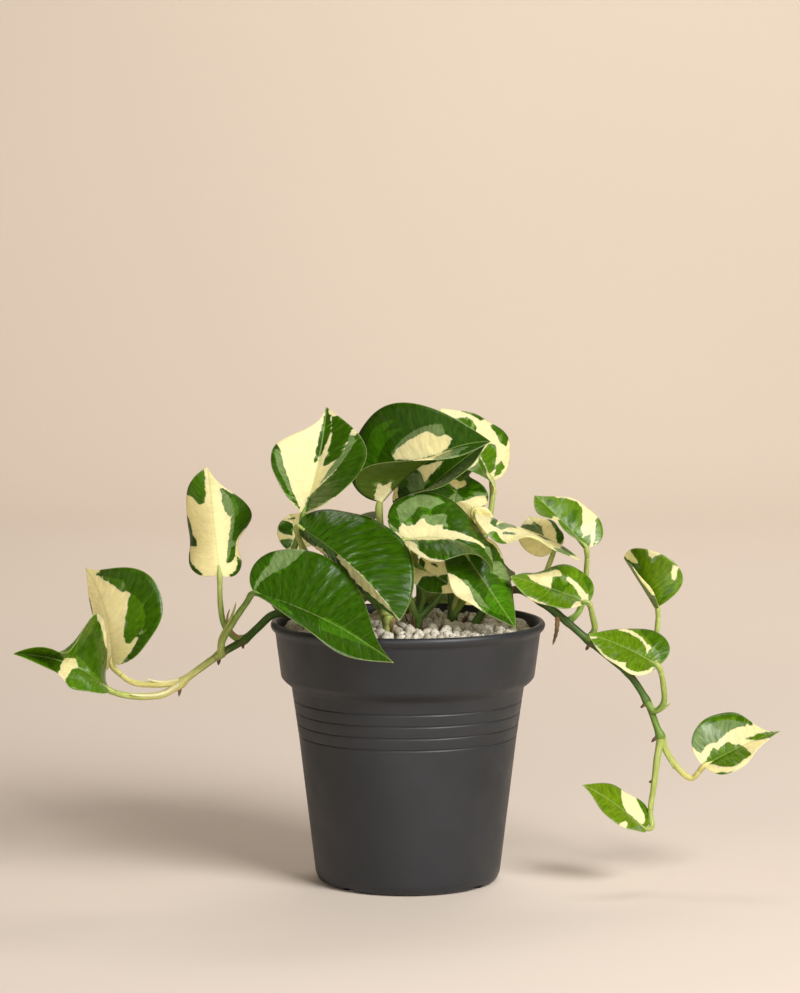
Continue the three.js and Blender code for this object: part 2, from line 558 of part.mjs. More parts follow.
// A point of the upper face. station runs along the half blade and column runs from midrib to margin.
function bladePoint(leaf, midrib, side, station, column) {
  const blade = side < 0 ? leaf.left : leaf.right;
  const margin = outlinePoint(blade, midrib.length, station);
  const veinStart = midrib.length * station ** 1.6;
  const reach = margin.x * column;
  const distance = veinStart + (margin.y - veinStart) * column ** 1.35;
  const frame = frameAt(leaf, midrib, distance);
  const ease = THREE.MathUtils.smoothstep(distance / midrib.length, 0, 1);
  const [foldBase, foldMiddle, foldTip] = blade.fold;
  const fold = THREE.MathUtils.lerp(foldBase, foldTip, ease) + foldMiddle * 4 * ease * (1 - ease);
  const start = THREE.MathUtils.degToRad(fold);
  const curl = THREE.MathUtils.degToRad(THREE.MathUtils.lerp(blade.curl[0], blade.curl[1], ease));
  const bend = (Math.abs(curl) < STRAIGHT ? STRAIGHT : curl) / blade.width;
  const angle = start + bend * reach;
  const sideways = (Math.sin(angle) - Math.sin(start)) / bend;
  const rise = (Math.cos(start) - Math.cos(angle)) / bend;
  const turns = (WAVES_PER_LEAF * distance) / midrib.length + blade.wavePhase;
  const wave = blade.waveHeight * (reach / blade.width) ** 2 * Math.sin(2 * Math.PI * turns);
  return frame.place
    .addScaledVector(frame.out, side * (sideways - wave * Math.sin(angle)))
    .addScaledVector(frame.up, rise + wave * Math.cos(angle));
}

// The open upper face as an indexed geometry, with both halves split into triangles from midrib to margin
function upperFace(leaf, midrib) {
  const stations = leaf.small ? SMALL_STATIONS : STATIONS;
  const columns = leaf.small ? SMALL_COLUMNS : COLUMNS;
  const corners = [];
  for (const side of [-1, 1]) {
    const grid = stations.map((station) =>
      columns.map((column) => bladePoint(leaf, midrib, side, station, column)),
    );
    for (let i = 0; i + 1 < stations.length; i += 1) {
      for (let j = 0; j + 1 < columns.length; j += 1) {
        const [a, b, c, d] = [grid[i][j], grid[i][j + 1], grid[i + 1][j + 1], grid[i + 1][j]];
        const triangles = side > 0 ? [[a, b, c], [a, c, d]] : [[a, c, b], [a, d, c]];
        corners.push(...triangles.flat());
      }
    }
  }
  const merged = mergeVertices(new THREE.BufferGeometry().setFromPoints(corners), 1e-4);
  const kept = [];
  for (let i = 0; i < merged.index.count; i += 3) {
    const triangle = [0, 1, 2].map((k) => merged.index.getX(i + k));
    if (new Set(triangle).size === 3) {
      kept.push(...triangle);
    }
  }
  merged.setIndex(kept);
  merged.computeVertexNormals();
  return merged;
}

// An open face closed by the same triangles again at a depth below it, and a rim round its margin
function thickened(face, thickness) {
  const count = face.attributes.position.count;
  const points = [];
  const place = new THREE.Vector3();
  const normal = new THREE.Vector3();
  for (const depth of [0, thickness]) {
    for (let i = 0; i < count; i += 1) {
      place.fromBufferAttribute(face.attributes.position, i);
      normal.fromBufferAttribute(face.attributes.normal, i);
      points.push(place.clone().addScaledVector(normal, -depth));
    }
  }
  const triangles = [];
  const edges = new Set();
  for (let i = 0; i < face.index.count; i += 3) {
    const [a, b, c] = [0, 1, 2].map((k) => face.index.getX(i + k));
    triangles.push(a, b, c, a + count, c + count, b + count);
    for (const [from, to] of [[a, b], [b, c], [c, a]]) {
      edges.add(`${from} ${to}`);
    }
  }
  for (const edge of edges) {
    const [from, to] = edge.split(' ').map(Number);
    if (!edges.has(`${to} ${from}`)) {
      triangles.push(to, from, from + count, to, from + count, to + count);
    }
  }
  const geometry = new THREE.BufferGeometry().setFromPoints(points);
  geometry.setIndex(triangles);
  return toSolid(geometry);
}

// The whole petiole line, from its stem through the leaf's base and a little way under the midrib
function petioleLine(leaf, midrib) {
  const frame = frameAt(leaf, midrib, KNEE_REACH);
  const inside = frame.place.addScaledVector(frame.up, -KNEE_DEPTH);
  const points = [...leaf.petiole.line.map(vector), vector(leaf.base), inside];
  return new THREE.CatmullRomCurve3(points, false, 'centripetal');
}

function leafSolid(leaf) {
  const midrib = midribOf(leaf);
  const line = petioleLine(leaf, midrib);
  const length = line.getLength();
  const knee = stretch(line, length - leaf.petiole.knee - KNEE_REACH, length);
  const radius = leaf.petiole.tip;
  const blade = thickened(upperFace(leaf, midrib), LEAF_THICKNESS);
  return blade.add(stalk(knee, radius, 0.6 * radius, PETIOLE_SIDES, 4));
}

function petioleSolid(leaf) {
  const line = petioleLine(leaf, midribOf(leaf));
  const end = line.getLength() - leaf.petiole.knee - KNEE_REACH - KNEE_GAP;
  return stalk(stretch(line, 0, end), leaf.petiole.root, leaf.petiole.tip, PETIOLE_SIDES, STALK_STEP);
}

// Stems

function stemCurve(stem) {
  return new THREE.CatmullRomCurve3(stem.line.map(vector), false, 'centripetal');
}

function stemSolid(stem) {
  const parts = [stalk(stemCurve(stem), stem.root, stem.end, STEM_SIDES, STALK_STEP)];
  for (const leaf of LEAVES.filter((one) => one.stem === stem.name)) {
    parts.push(petioleSolid(leaf));
  }
  for (const [root, end, line] of stem.nubs) {
    parts.push(stalk(new THREE.CatmullRomCurve3(line.map(vector)), root, end, PETIOLE_SIDES, STALK_STEP));
  }
  return joined(parts);
}

// The plain hole that a stem stands in
function stemHole(stem) {
  const [bottom, top] = stem.line.map(vector);
  const height = top.z - bottom.z + 30;
  const radius = (stem.root + GAP) / Math.cos(Math.PI / HOLE_SIDES);
  const hole = new THREE.CylinderGeometry(radius, radius, height, HOLE_SIDES);
  hole.rotateX(Math.PI / 2);
  hole.translate(bottom.x, bottom.y, bottom.z - GAP + height / 2);
  return toSolid(hole);
}

// Pot

function lathed(profile) {
  const geometry = new THREE.LatheGeometry(profile.map(([r, z]) => new THREE.Vector2(r, z)), POT_SEGMENTS);
  geometry.rotateX(Math.PI / 2);
  return toSolid(geometry);
}

function grooveProfile(lineStart, lineEnd) {
  const radiusAt = (z) =>
    THREE.MathUtils.mapLinear(z, lineStart[1], lineEnd[1], lineStart[0], lineEnd[0]);
  return GROOVE_HEIGHTS.flatMap((z) => [
    [radiusAt(z - GROOVE_HALF_WIDTH), z - GROOVE_HALF_WIDTH],
    [radiusAt(z) - GROOVE_DEPTH, z],
    [radiusAt(z + GROOVE_HALF_WIDTH), z + GROOVE_HALF_WIDTH],
  ]);
}

function potSolid() {
  const bodyFoot = [51.2, 9];
  const bodyMiddle = [59.4, 78];
  const bodyTop = [63.7, 107.6];
  const collarFoot = [69.3, 112.7];
  const collarTop = [72.5, POT_HEIGHT - 6];
  const outside = [
    [0, 0], [34, 0], [35.5, 2.4], [39.5, 2.4], [41, 0], [46.2, 0], [49.2, 1.4], [50.7, 4.8],
    bodyFoot, ...grooveProfile(bodyMiddle, bodyTop), bodyTop, [67.2, 110.4], collarFoot, collarTop,
  ];
  const rim = [
    [74.5, POT_HEIGHT - 4.2], [POT_RIM_RADIUS, POT_HEIGHT - 2], [74.3, POT_HEIGHT - 0.4],
    [73.2, POT_HEIGHT], [72.2, POT_HEIGHT - 0.3], [collarTop[0] - POT_WALL, POT_HEIGHT - 3],
  ];
  const inside = [
    [collarFoot[0] - POT_WALL, 114.2], [65.6, 112], [62.1, 109.3], [61.6, 105],
    [bodyFoot[0] - POT_WALL, 9.4], [46.6, 4.2], [34.8, 4.2], [33.2, 1.8], [0, 1.8],
  ];
  const profile = [...outside, ...rim, ...inside];
  let pot = lathed(profile);
  for (const degrees of FOOT_NOTCH_ANGLES) {
    const notch = new THREE.BoxGeometry(FOOT_NOTCH_WIDTH, 12, 2 * FOOT_NOTCH_HEIGHT);
    notch.translate(0, -48, 0);
    notch.rotateZ(THREE.MathUtils.degToRad(degrees));
    pot = pot.subtract(toSolid(notch));
  }
  for (let i = 0; i < DRAIN_HOLE_COUNT; i += 1) {
    const hole = new THREE.CylinderGeometry(DRAIN_HOLE_RADIUS, DRAIN_HOLE_RADIUS, 12, 8);
    hole.rotateX(Math.PI / 2);
    hole.translate(DRAIN_HOLE_CIRCLE, 0, 3);
    hole.rotateZ((i / DRAIN_HOLE_COUNT) * 2 * Math.PI);
    pot = pot.subtract(toSolid(hole));
  }
  return pot;
}

// Potting mix and pumice

function soilSolid() {
  const profile = [
    [0, 2.1], [33, 2.1], [34.7, 4.5], [46.4, 4.5], [49.2, 9.6],
    [61.2, 105], [61.7, 109.6], [65.3, 112.4], [67.3, 114.6], [69.4, SOIL_TOP], [0, SOIL_TOP],
  ];
  return STEMS.reduce((soil, stem) => soil.subtract(stemHole(stem)), lathed(profile));
}

// A seeded random number in 0..1 (mulberry32)
function seeded(seed) {
  let state = seed;
  return () => {
    state = (state + 0x6d2b79f5) | 0;
    let t = Math.imul(state ^ (state >>> 15), 1 | state);
    t = (t + Math.imul(t ^ (t >>> 7), 61 | t)) ^ t;
    return ((t ^ (t >>> 14)) >>> 0) / 4294967296;
  };
}

// Pebbles larger than life, side by side on a jittered triangular lattice, with hollows between them.
// Each crown is a hexagon, and its flanks run down to the low points shared with its neighbours.
function pumiceSolid() {
  const random = seeded(7);
  const bottom = SOIL_TOP + GAP;
  const reach = Math.ceil(POT_RIM_RADIUS / PEBBLE_SPACING) + 1;
  const centres = new Map();
  for (let row = -reach - 1; row <= reach + 1; row += 1) {
    for (let place = -2 * reach; place <= 2 * reach; place += 1) {
      const x = (place + row / 2 + (random() - 0.5) * 0.3) * PEBBLE_SPACING;
      const y = (row * Math.sqrt(0.75) + (random() - 0.5) * 0.3) * PEBBLE_SPACING;
      centres.set(`${row} ${place}`, new THREE.Vector3(x, y, PUMICE_HIGH + random() * 1.2));
    }
  }
  const around = [[0, 1], [1, 0], [1, -1], [0, -1], [-1, 0], [-1, 1]];
  const corners = [];
  for (const [key, centre] of centres) {
    const [row, place] = key.split(' ').map(Number);
    if (Math.abs(row) > reach || Math.hypot(centre.x, centre.y) > POT_RIM_RADIUS + PEBBLE_SPACING / 2) {
      continue;
    }
    const neighbours = around.map(([up, across]) => centres.get(`${row + up} ${place + across}`));
    const low = neighbours.map((one, i) => {
      const corner = centre.clone().add(one).add(neighbours[(i + 1) % 6]).divideScalar(3);
      return corner.setZ(PUMICE_LOW);
    });
    const crown = low.map((corner) => centre.clone().lerp(corner, PEBBLE_CROWN).setZ(centre.z - 0.5));
    for (let i = 0; i < 6; i += 1) {
      const next = (i + 1) % 6;
      corners.push(centre, crown[i], crown[next]);
      corners.push(crown[i], low[i], low[next], crown[i], low[next], crown[next]);
    }
  }
  const relief = mergeVertices(new THREE.BufferGeometry().setFromPoints(corners), 1e-3);
  const upward = new Float32Array(relief.attributes.position.count * 3).map((_, i) => (i % 3 === 2 ? 1 : 0));
  relief.setAttribute('normal', new THREE.BufferAttribute(upward, 3));
  const disc = lathed([[0, bottom], [69.7, bottom], [70.3, bottom + 8], [0, bottom + 8]]);
  const layer = thickened(relief, 12).intersect(disc);
  return STEMS.reduce((rest, stem) => rest.subtract(stemHole(stem)), layer);
}

// Assembly

const plant = new THREE.Group();

function addPiece(name, solid, color, roughness) {
  const material = new THREE.MeshStandardMaterial({ color, roughness, metalness: 0 });
  const mesh = new THREE.Mesh(toGeometry(solid), material);
  mesh.name = name;
  plant.add(mesh);
}

addPiece('pot', potSolid(), 0x47474a, 0.5);
addPiece('potting_mix', soilSolid(), 0x3a2a1f, 0.95);
addPiece('pumice_topping', pumiceSolid(), 0xcfc6b4, 0.9);
for (const stem of STEMS) {
  addPiece(stem.name, stemSolid(stem), stem.color, 0.5);
}
for (const leaf of LEAVES) {
  addPiece(leaf.name, leafSolid(leaf), leaf.color, 0.35);
}

export default plant;
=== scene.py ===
"""Studio scene of a potted, trailing pothos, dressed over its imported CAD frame.

Sizes are in millimetres and degrees; Blender gets metres. The frame's origin is the middle of the pot's
underside, +Z is up, +X is to the viewer's right and -Y is towards the viewer.
"""

import json
import logging
import math
from dataclasses import dataclass, field
from enum import Enum
from functools import partial
from typing import Any, Callable, Sequence

import bmesh
import bpy
import numpy as np
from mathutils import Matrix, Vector
from numpy.typing import NDArray

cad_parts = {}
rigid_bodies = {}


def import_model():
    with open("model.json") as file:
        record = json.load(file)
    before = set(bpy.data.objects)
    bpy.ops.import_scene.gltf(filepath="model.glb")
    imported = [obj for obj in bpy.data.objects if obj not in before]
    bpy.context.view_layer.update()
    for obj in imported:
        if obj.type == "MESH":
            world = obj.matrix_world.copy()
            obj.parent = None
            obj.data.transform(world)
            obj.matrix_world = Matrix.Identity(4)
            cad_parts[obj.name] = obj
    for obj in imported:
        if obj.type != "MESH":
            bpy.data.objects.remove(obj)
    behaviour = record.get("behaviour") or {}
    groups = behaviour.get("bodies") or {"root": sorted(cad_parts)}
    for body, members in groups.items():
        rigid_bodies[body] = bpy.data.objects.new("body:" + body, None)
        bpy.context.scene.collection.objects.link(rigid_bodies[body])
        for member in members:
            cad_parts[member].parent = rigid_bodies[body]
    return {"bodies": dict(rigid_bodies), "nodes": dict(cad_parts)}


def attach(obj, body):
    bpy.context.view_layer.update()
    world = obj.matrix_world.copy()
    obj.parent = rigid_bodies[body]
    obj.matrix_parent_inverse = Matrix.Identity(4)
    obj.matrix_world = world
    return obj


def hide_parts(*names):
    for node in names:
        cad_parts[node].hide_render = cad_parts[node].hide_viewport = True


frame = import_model()

log = logging.getLogger("pothos")

Numbers = NDArray[np.float64]
Place = tuple[float, float]
Point = tuple[float, float, float]
Adder = Callable[..., bpy.types.Node]

MM = 0.001  # a millimetre, in Blender's metres
TURN = 2 * math.pi
TINY = 1e-9
VEIN_SPACING = 4.5  # between two side veins
CURVE_STEPS = 24  # between two points of a stalk's line


# Named colours and tones


class Tone(Enum):
    """The four colours of a variegated blade, from the ground up: a later one is laid over an earlier one."""

    DEEP = 0
    MID = 1
    SAGE = 2
    CREAM = 3


class Dye(Enum):
    """Colours that stalks and roots pass through along their length."""

    VINE = "#41601F"
    FRESH = "#6E8F33"
    PALE = "#A3B15C"
    BUTTER = "#CFC878"
    IVORY = "#DDD9A4"
    TAN = "#A98A5A"
    BARK = "#5C452C"
    HUSK = "#33271A"


DEEP, MID, SAGE, CREAM = Tone
VINE, FRESH, PALE, BUTTER, IVORY, TAN, BARK, HUSK = Dye


def hex_to_linear(code: str) -> tuple[float, float, float, float]:
    """Turns an sRGB hex colour into the linear RGBA that shaders take.

    Args:
        code: the colour, such as "#41601F".

    Returns:
        Linear red, green and blue, and an alpha of 1.
    """
    shares = [int(code[i : i + 2], 16) / 255 for i in (1, 3, 5)]
    red, green, blue = [s / 12.92 if s <= 0.04045 else ((s + 0.055) / 1.055) ** 2.4 for s in shares]
    return (red, green, blue, 1.0)


def dyed(share: Numbers, *stops: tuple[float, Dye]) -> Numbers:
    """Linear colours at shares of a stalk's length, blended between the dyes that it has at its stops."""
    colours = np.array([hex_to_linear(dye.value)[:3] for _, dye in stops])
    return np.stack([np.interp(share, [stop for stop, _ in stops], band) for band in colours.T], -1)


# Curves and meshes


def unit(vectors: Numbers) -> Numbers:
    """Scales vectors to length 1, and leaves a zero vector as it is."""
    return vectors / np.maximum(np.linalg.norm(vectors, axis=-1, keepdims=True), TINY)


def ease(share: Numbers) -> Numbers:
    """Smooth step from 0 to 1."""
    share = np.clip(share, 0, 1)
    return share * share * (3 - 2 * share)


def bell(offset: Numbers) -> Numbers:
    """A soft bump: 1 in its middle, about a third at an offset of 1."""
    return np.exp(-np.square(offset))


def cubic(a: Numbers, b: Numbers, c: Numbers, d: Numbers, share: Numbers) -> Numbers:
    """Points of a cubic Bezier curve at the given shares."""
    t = np.asarray(share, float)[..., None]
    return a * (1 - t) ** 3 + 3 * b * t * (1 - t) ** 2 + 3 * c * t * t * (1 - t) + d * t**3


def lengths_along(line: Numbers) -> Numbers:
    """Distance of each point of a line from its start."""
    return np.r_[0, np.cumsum(np.linalg.norm(np.diff(line, axis=0), axis=1))]


def resampled(line: Numbers, distances: Numbers) -> Numbers:
    """Points of a line at given distances from its start."""
    along = lengths_along(line)
    return np.stack([np.interp(distances, along, axis) for axis in line.T], -1)


def smooth_line(points: Sequence[Point]) -> Numbers:
    """Draws a centripetal Catmull-Rom curve, the one that the solids' stalks follow, as a fine line.

    Args:
        points: the points that the curve passes through.

    Returns:
        Closely spaced points of the curve.
    """
    p = np.array(points, float)
    p = np.vstack([2 * p[0] - p[1], p, 2 * p[-1] - p[-2]])
    share = np.linspace(0, 1, CURVE_STEPS, endpoint=False)[:, None]
    stretches = []
    for a, b, c, d in zip(p, p[1:], p[2:], p[3:]):
        before, between, after = (np.linalg.norm(v) ** 0.5 for v in (b - a, c - b, d - c))
        start = ((b - a) / before - (c - a) / (before + between) + (c - b) / between) * between
        end = ((c - b) / between - (d - b) / (between + after) + (d - c) / after) * between
        bend, twist = 3 * (c - b) - 2 * start - end, 2 * (b - c) + start + end
        stretches.append(b + start * share + bend * share**2 + twist * share**3)
    return np.vstack([*stretches, p[-2:-1]])


def ring_faces(rings: int, sides: int) -> Numbers:
    """Joins rings of points into a closed skin.

    Args:
        rings: how many rings there are, one after the other in the list of points.
        sides: points in a ring. After the rings come one point that closes the first and one for the last.

    Returns:
        Triangles, one row of point numbers each.
    """
    i, j = np.meshgrid(np.arange(rings - 1), np.arange(sides), indexing="ij")
    a, b = (i * sides + j).ravel(), (i * sides + (j + 1) % sides).ravel()
    k, far, end = np.arange(sides), (rings - 1) * sides, np.full(sides, rings * sides)
    after = (k + 1) % sides
    return np.vstack([
        np.c_[a, b, b + sides], np.c_[a, b + sides, a + sides],
        np.c_[after, k, end], np.c_[far + k, far + after, end + 1],
    ])


def turned(section: Numbers, sides: int) -> tuple[Numbers, Numbers]:
    """Turns a section about the pot's axis.

    Args:
        section: rows (radius, height), of which the first and the last lie on the axis.
        sides: corners of each ring.

    Returns:
        Points, ring by ring and then the two on the axis, and triangles.
    """
    turn = np.linspace(0, TURN, sides, endpoint=False)
    rings = [np.c_[r * np.cos(turn), r * np.sin(turn), np.full(sides, z)] for r, z in section[1:-1]]
    ends = [[0, 0, section[0][1]], [0, 0, section[-1][1]]]
    return np.vstack([*rings, ends]), ring_faces(len(rings), sides)


def tube(line: Numbers, radii: Numbers, sides: int) -> tuple[Numbers, Numbers, Numbers]:
    """Sweeps a round section along a line and closes both ends.

    Args:
        line: the centre line.
        radii: the radius at each of its points.
        sides: corners of the section.

    Returns:
        Points, triangles, and for each point (distance along, turn round the line in radians, radius).
    """
    tangents = unit(np.gradient(line, axis=0))
    across = np.empty_like(line)
    side = unit(np.cross(tangents[0], [0.31, 0.87, 0.38]))  # across any direction that a stalk starts in
    for k, tangent in enumerate(tangents):
        across[k] = side = unit(side - tangent * (side @ tangent))
    turn = np.linspace(0, TURN, sides, endpoint=False)[None, :, None]
    out = across[:, None] * np.cos(turn) + np.cross(tangents, across)[:, None] * np.sin(turn)
    points = np.vstack([(line[:, None] + radii[:, None, None] * out).reshape(-1, 3), line[[0, -1]]])
    along = lengths_along(line)
    chart = np.stack(np.broadcast_arrays(along[:, None], turn[..., 0], radii[:, None]), -1).reshape(-1, 3)
    return points, ring_faces(len(line), sides), np.vstack([chart, [along[0], 0, 0], [along[-1], 0, 0]])


@dataclass
class MeshBuffer:
    """The points, faces and point channels of one piece, in millimetres, before Blender sees them.

    Fields:
        widths: the channels that the piece's materials read, and how many numbers a point has in each.
    """

    widths: dict[str, int] = field(default_factory=dict)
    points: list[Numbers] = field(default_factory=list)
    faces: list[list[int]] = field(default_factory=list)
    finishes: list[int] = field(default_factory=list)
    channels: dict[str, list[Numbers]] = field(default_factory=dict)

    def add(self, points: Numbers, faces: Numbers, finish: int = 0, **channels: Any) -> None:
        """Adds a patch of mesh.

        Args:
            points: its points, one row each.
            faces: its faces, one row of point numbers each.
            finish: which of the piece's materials it wears.
            channels: a value at each point, or one for all. A channel that isn't given is 0.
        """
        rows = (faces + sum(map(len, self.points))).tolist()
        self.faces += rows
        self.finishes += [finish] * len(rows)
        self.points.append(points)
        for name, width in self.widths.items():
            values = np.reshape(channels.get(name, np.zeros(width)), (-1, width))
            self.channels.setdefault(name, []).append(np.broadcast_to(values, (len(points), width)))

    def build(self, name: str, *materials: bpy.types.Material, smooth: bool = True) -> bpy.types.Object:
        """Makes the Blender object.

        Args:
            name: the object's name.
            materials: the materials that the faces' finish numbers count through.
            smooth: whether faces are shaded smooth.

        Returns:
            The new object, in metres, in the scene.
        """
        mesh = bpy.data.meshes.new(name)
        mesh.from_pydata((np.vstack(self.points) * MM).tolist(), [], self.faces)
        mesh.polygons.foreach_set("use_smooth", [smooth] * len(mesh.polygons))
        mesh.polygons.foreach_set("material_index", self.finishes)
        for channel, parts in self.channels.items():
            kind, field_name = ("FLOAT", "value") if self.widths[channel] == 1 else ("FLOAT_VECTOR", "vector")
            values = np.concatenate(parts).ravel()
            mesh.attributes.new(channel, kind, "POINT").data.foreach_set(field_name, values)
        for material in materials:
            mesh.materials.append(material)
        mesh.update()
        shape = bpy.data.objects.new(name, mesh)
        bpy.context.scene.collection.objects.link(shape)
        return shape


def seat(shape: bpy.types.Object, node: str) -> None:
    """Hangs a finished piece on the frame, in place of its CAD node.

    Args:
        shape: the piece.
        node: the CAD node that it stands for.
    """
    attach(shape, "root")
    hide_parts(node)
    log.info("%-34s %7d faces, for %s", shape.name, len(shape.data.polygons), node)


# Finishes


def add_node(tree: bpy.types.NodeTree, kind: str, *feeds: Any, **settings: Any) -> bpy.types.Node:
    """Adds a shader node, sets it up and feeds its inputs.

    Args:
        tree: the material's node tree.
        kind: the node's type, without its ShaderNode prefix.
        feeds: for the inputs that it shows, in order, a number, a hex colour, a node or a node's output.
        settings: the same for an input by its name, with _ for a space, or a value for a property.

    Returns:
        The new node.
    """
    new = tree.nodes.new("ShaderNode" + kind)
    given = []
    for key, value in settings.items():
        if (name := key.replace("_", " ")) in new.inputs:
            given.append((new.inputs[name], value))
        else:
            setattr(new, key, value)
    given += zip([socket for socket in new.inputs if socket.enabled], feeds)
    for socket, value in given:
        if isinstance(value, bpy.types.Node):
            value = next(output for output in value.outputs if output.enabled)
        if isinstance(value, bpy.types.NodeSocket):
            tree.links.new(value, socket)
        else:
            socket.default_value = hex_to_linear(value) if isinstance(value, str) else value
    return new


class Finish:
    """What every finish shares: a material of its own name, with the shader that the finish draws."""

    name: str

    def build(self) -> bpy.types.Material:
        """Makes the material.

        Returns:
            The new material.
        """
        material = bpy.data.materials.new(self.name)
        material.use_nodes = True
        material.node_tree.nodes.clear()
        node = partial(add_node, material.node_tree)
        node("OutputMaterial", self.shader(node))
        return material

    def shader(self, node: Adder) -> bpy.types.Node:
        """Draws the material's nodes.

        Args:
            node: adds a node to the material.

        Returns:
            The shader that the surface takes.
        """
        raise NotImplementedError


@dataclass(frozen=True)
class VariegatedBlade(Finish):
    """Living pothos blade: a waxy skin over green, grey-green and unpigmented cream tissue.

    The wax gives soft broad highlights on the upper face, light glows through the thin tissue, and every
    colour break is combed out along the side veins in fine teeth.

    Reads the channels blade (place on the flat blade), vein (reach, order of the side vein, distance from the
    margin), tones (distances inside the markings), under and youth.
    """

    name: str = "variegated_leaf_blade"
    deep: tuple[str, str] = ("#2E5203", "#4A7006")  # on an old leaf and on a young one
    mid: tuple[str, str] = ("#3F7008", "#64820E")
    sage: str = "#6E864F"
    cream: str = "#ECE7C0"
    underside: str = "#7F8C34"  # the olive bloom of the lower face
    roughness: float = 0.23
    shine: float = 0.28  # specular level: the wax is thin
    glow: Place = (0.12, 0.46)  # share of light that green and cream tissue let through
    comb_mm: float = 0.65  # how far the colour teeth reach
    comb_length_mm: float = 9.0  # their run along a side vein
    comb_width_mm: float = 2.3  # their spacing across the veins
    halo_mm: float = 2.2  # how far the paler green tissue spreads round a cream patch, here and there
    noises: tuple[Point, ...] = (  # of each noise, its scale beside the teeth's, its detail and its roughness
        (1.0, 2.5, 0.6), (6.0, 1.0, 0.5), (0.55, 2.0, 0.5), (2.2, 3.0, 0.5), (3.5, 2.0, 0.5), (1.3, 1.5, 0.5),
        (9.0, 2.0, 0.5),
    )
    lines: tuple[tuple[float, float, float, str], ...] = (
        (0.0, 0.16, 0.045, "#A9B96A"),  # side veins: where a line is full and gone, its strength and colour
        (0.25, 0.6, 0.3, "#A9B96A"),  # midrib
        (0.15, 0.4, 0.3, "#C9CB8C"),  # margin
    )

    def shader(self, node: Adder) -> bpy.types.Node:
        """Draws the tissue's colours, then its wax and the light that comes through.

        Args:
            node: adds a node to the material.

        Returns:
            The shader that the surface takes.
        """
        blade, vein, tones = [
            node("SeparateXYZ", node("Attribute", attribute_name=name).outputs["Vector"]).outputs
            for name in ("blade", "vein", "tones")
        ]
        under, youth = [node("Attribute", attribute_name=name).outputs["Fac"] for name in ("under", "youth")]
        along = node("Math", vein[0], self.comb_length_mm, operation="DIVIDE")
        across = node("Math", vein[1], self.comb_width_mm, operation="DIVIDE")
        comb_place = node("CombineXYZ", along, across, blade[2])
        comb, cell, drift, mottle, skin, pucker, fine = [
            node("TexNoise", comb_place, scale, detail, grit) for scale, detail, grit in self.noises
        ]
        tooth = node("Math", comb, 4 * self.comb_mm, -2 * self.comb_mm - 0.15, operation="MULTIPLY_ADD")
        tooth = node("Math", cell, 0.3, tooth, operation="MULTIPLY_ADD")
        tooth_out = node("Math", tooth, operation="ABSOLUTE")
        halo = node("MapRange", drift, 0.38, 0.68, -self.halo_mm, self.halo_mm)
        reach = [node("Math", *pair, operation="ADD") for pair in zip(tones, (tooth_out, tooth_out, tooth))]
        for k in (1, 0):
            spread = node("Math", reach[k + 1], halo, operation="ADD")
            reach[k] = node("Math", reach[k], spread, operation="MAXIMUM")
        colour, mid = [node("Mix", youth, *pair, data_type="RGBA") for pair in (self.deep, self.mid)]
        for distance, tissue in zip(reach, (mid, self.sage, self.cream)):
            cover = node("Math", distance, 2.2, 0.5, operation="MULTIPLY_ADD", use_clamp=True)
            colour = node("Mix", cover, colour, tissue, data_type="RGBA")
        shade = node("MapRange", mottle, 0.3, 0.7, -0.3, 0.3)
        pigment = node("Math", cover, -0.72, 1.0, operation="MULTIPLY_ADD")
        value = node("Math", shade, pigment, 1.0, operation="MULTIPLY_ADD")
        colour = node("HueSaturation", Value=value, Color=colour)
        order = node("Math", vein[1], VEIN_SPACING, operation="DIVIDE")
        order = node("Math", order, 1.0, operation="PINGPONG")
        middle = node("Math", blade[0], operation="ABSOLUTE")
        for distance, (near, far, strength, pale) in zip((order, middle, vein[2]), self.lines):
            line = node("MapRange", distance, near, far, strength, 0.0)
            colour = node("Mix", line, colour, pale, data_type="RGBA")
        lower = node("HueSaturation", Saturation=0.92, Value=1.5, Color=colour)
        olive = node("Math", cover, -0.3, 0.3, operation="MULTIPLY_ADD")
        lower = node("Mix", olive, lower, self.underside, data_type="RGBA")
        colour = node("Mix", under, colour, lower, data_type="RGBA")
        gloss = node("MapRange", skin, 0.2, 0.8, self.roughness - 0.05, self.roughness + 0.07)
        rough = node("Math", under, 0.22, gloss, operation="MULTIPLY_ADD")
        height = node("Math", fine, 0.16, pucker, operation="MULTIPLY_ADD")
        bump = node("Bump", Strength=0.5, Distance=0.7 * MM, Height=height)
        wax = node("BsdfPrincipled", Base_Color=colour, Roughness=rough, Normal=bump, IOR=1.45,
                   Specular_IOR_Level=self.shine)
        lit = node("BsdfTranslucent", node("HueSaturation", Saturation=1.05, Value=1.18, Color=colour))
        return node("MixShader", node("MapRange", cover, 0.0, 1.0, *self.glow), wax, lit)


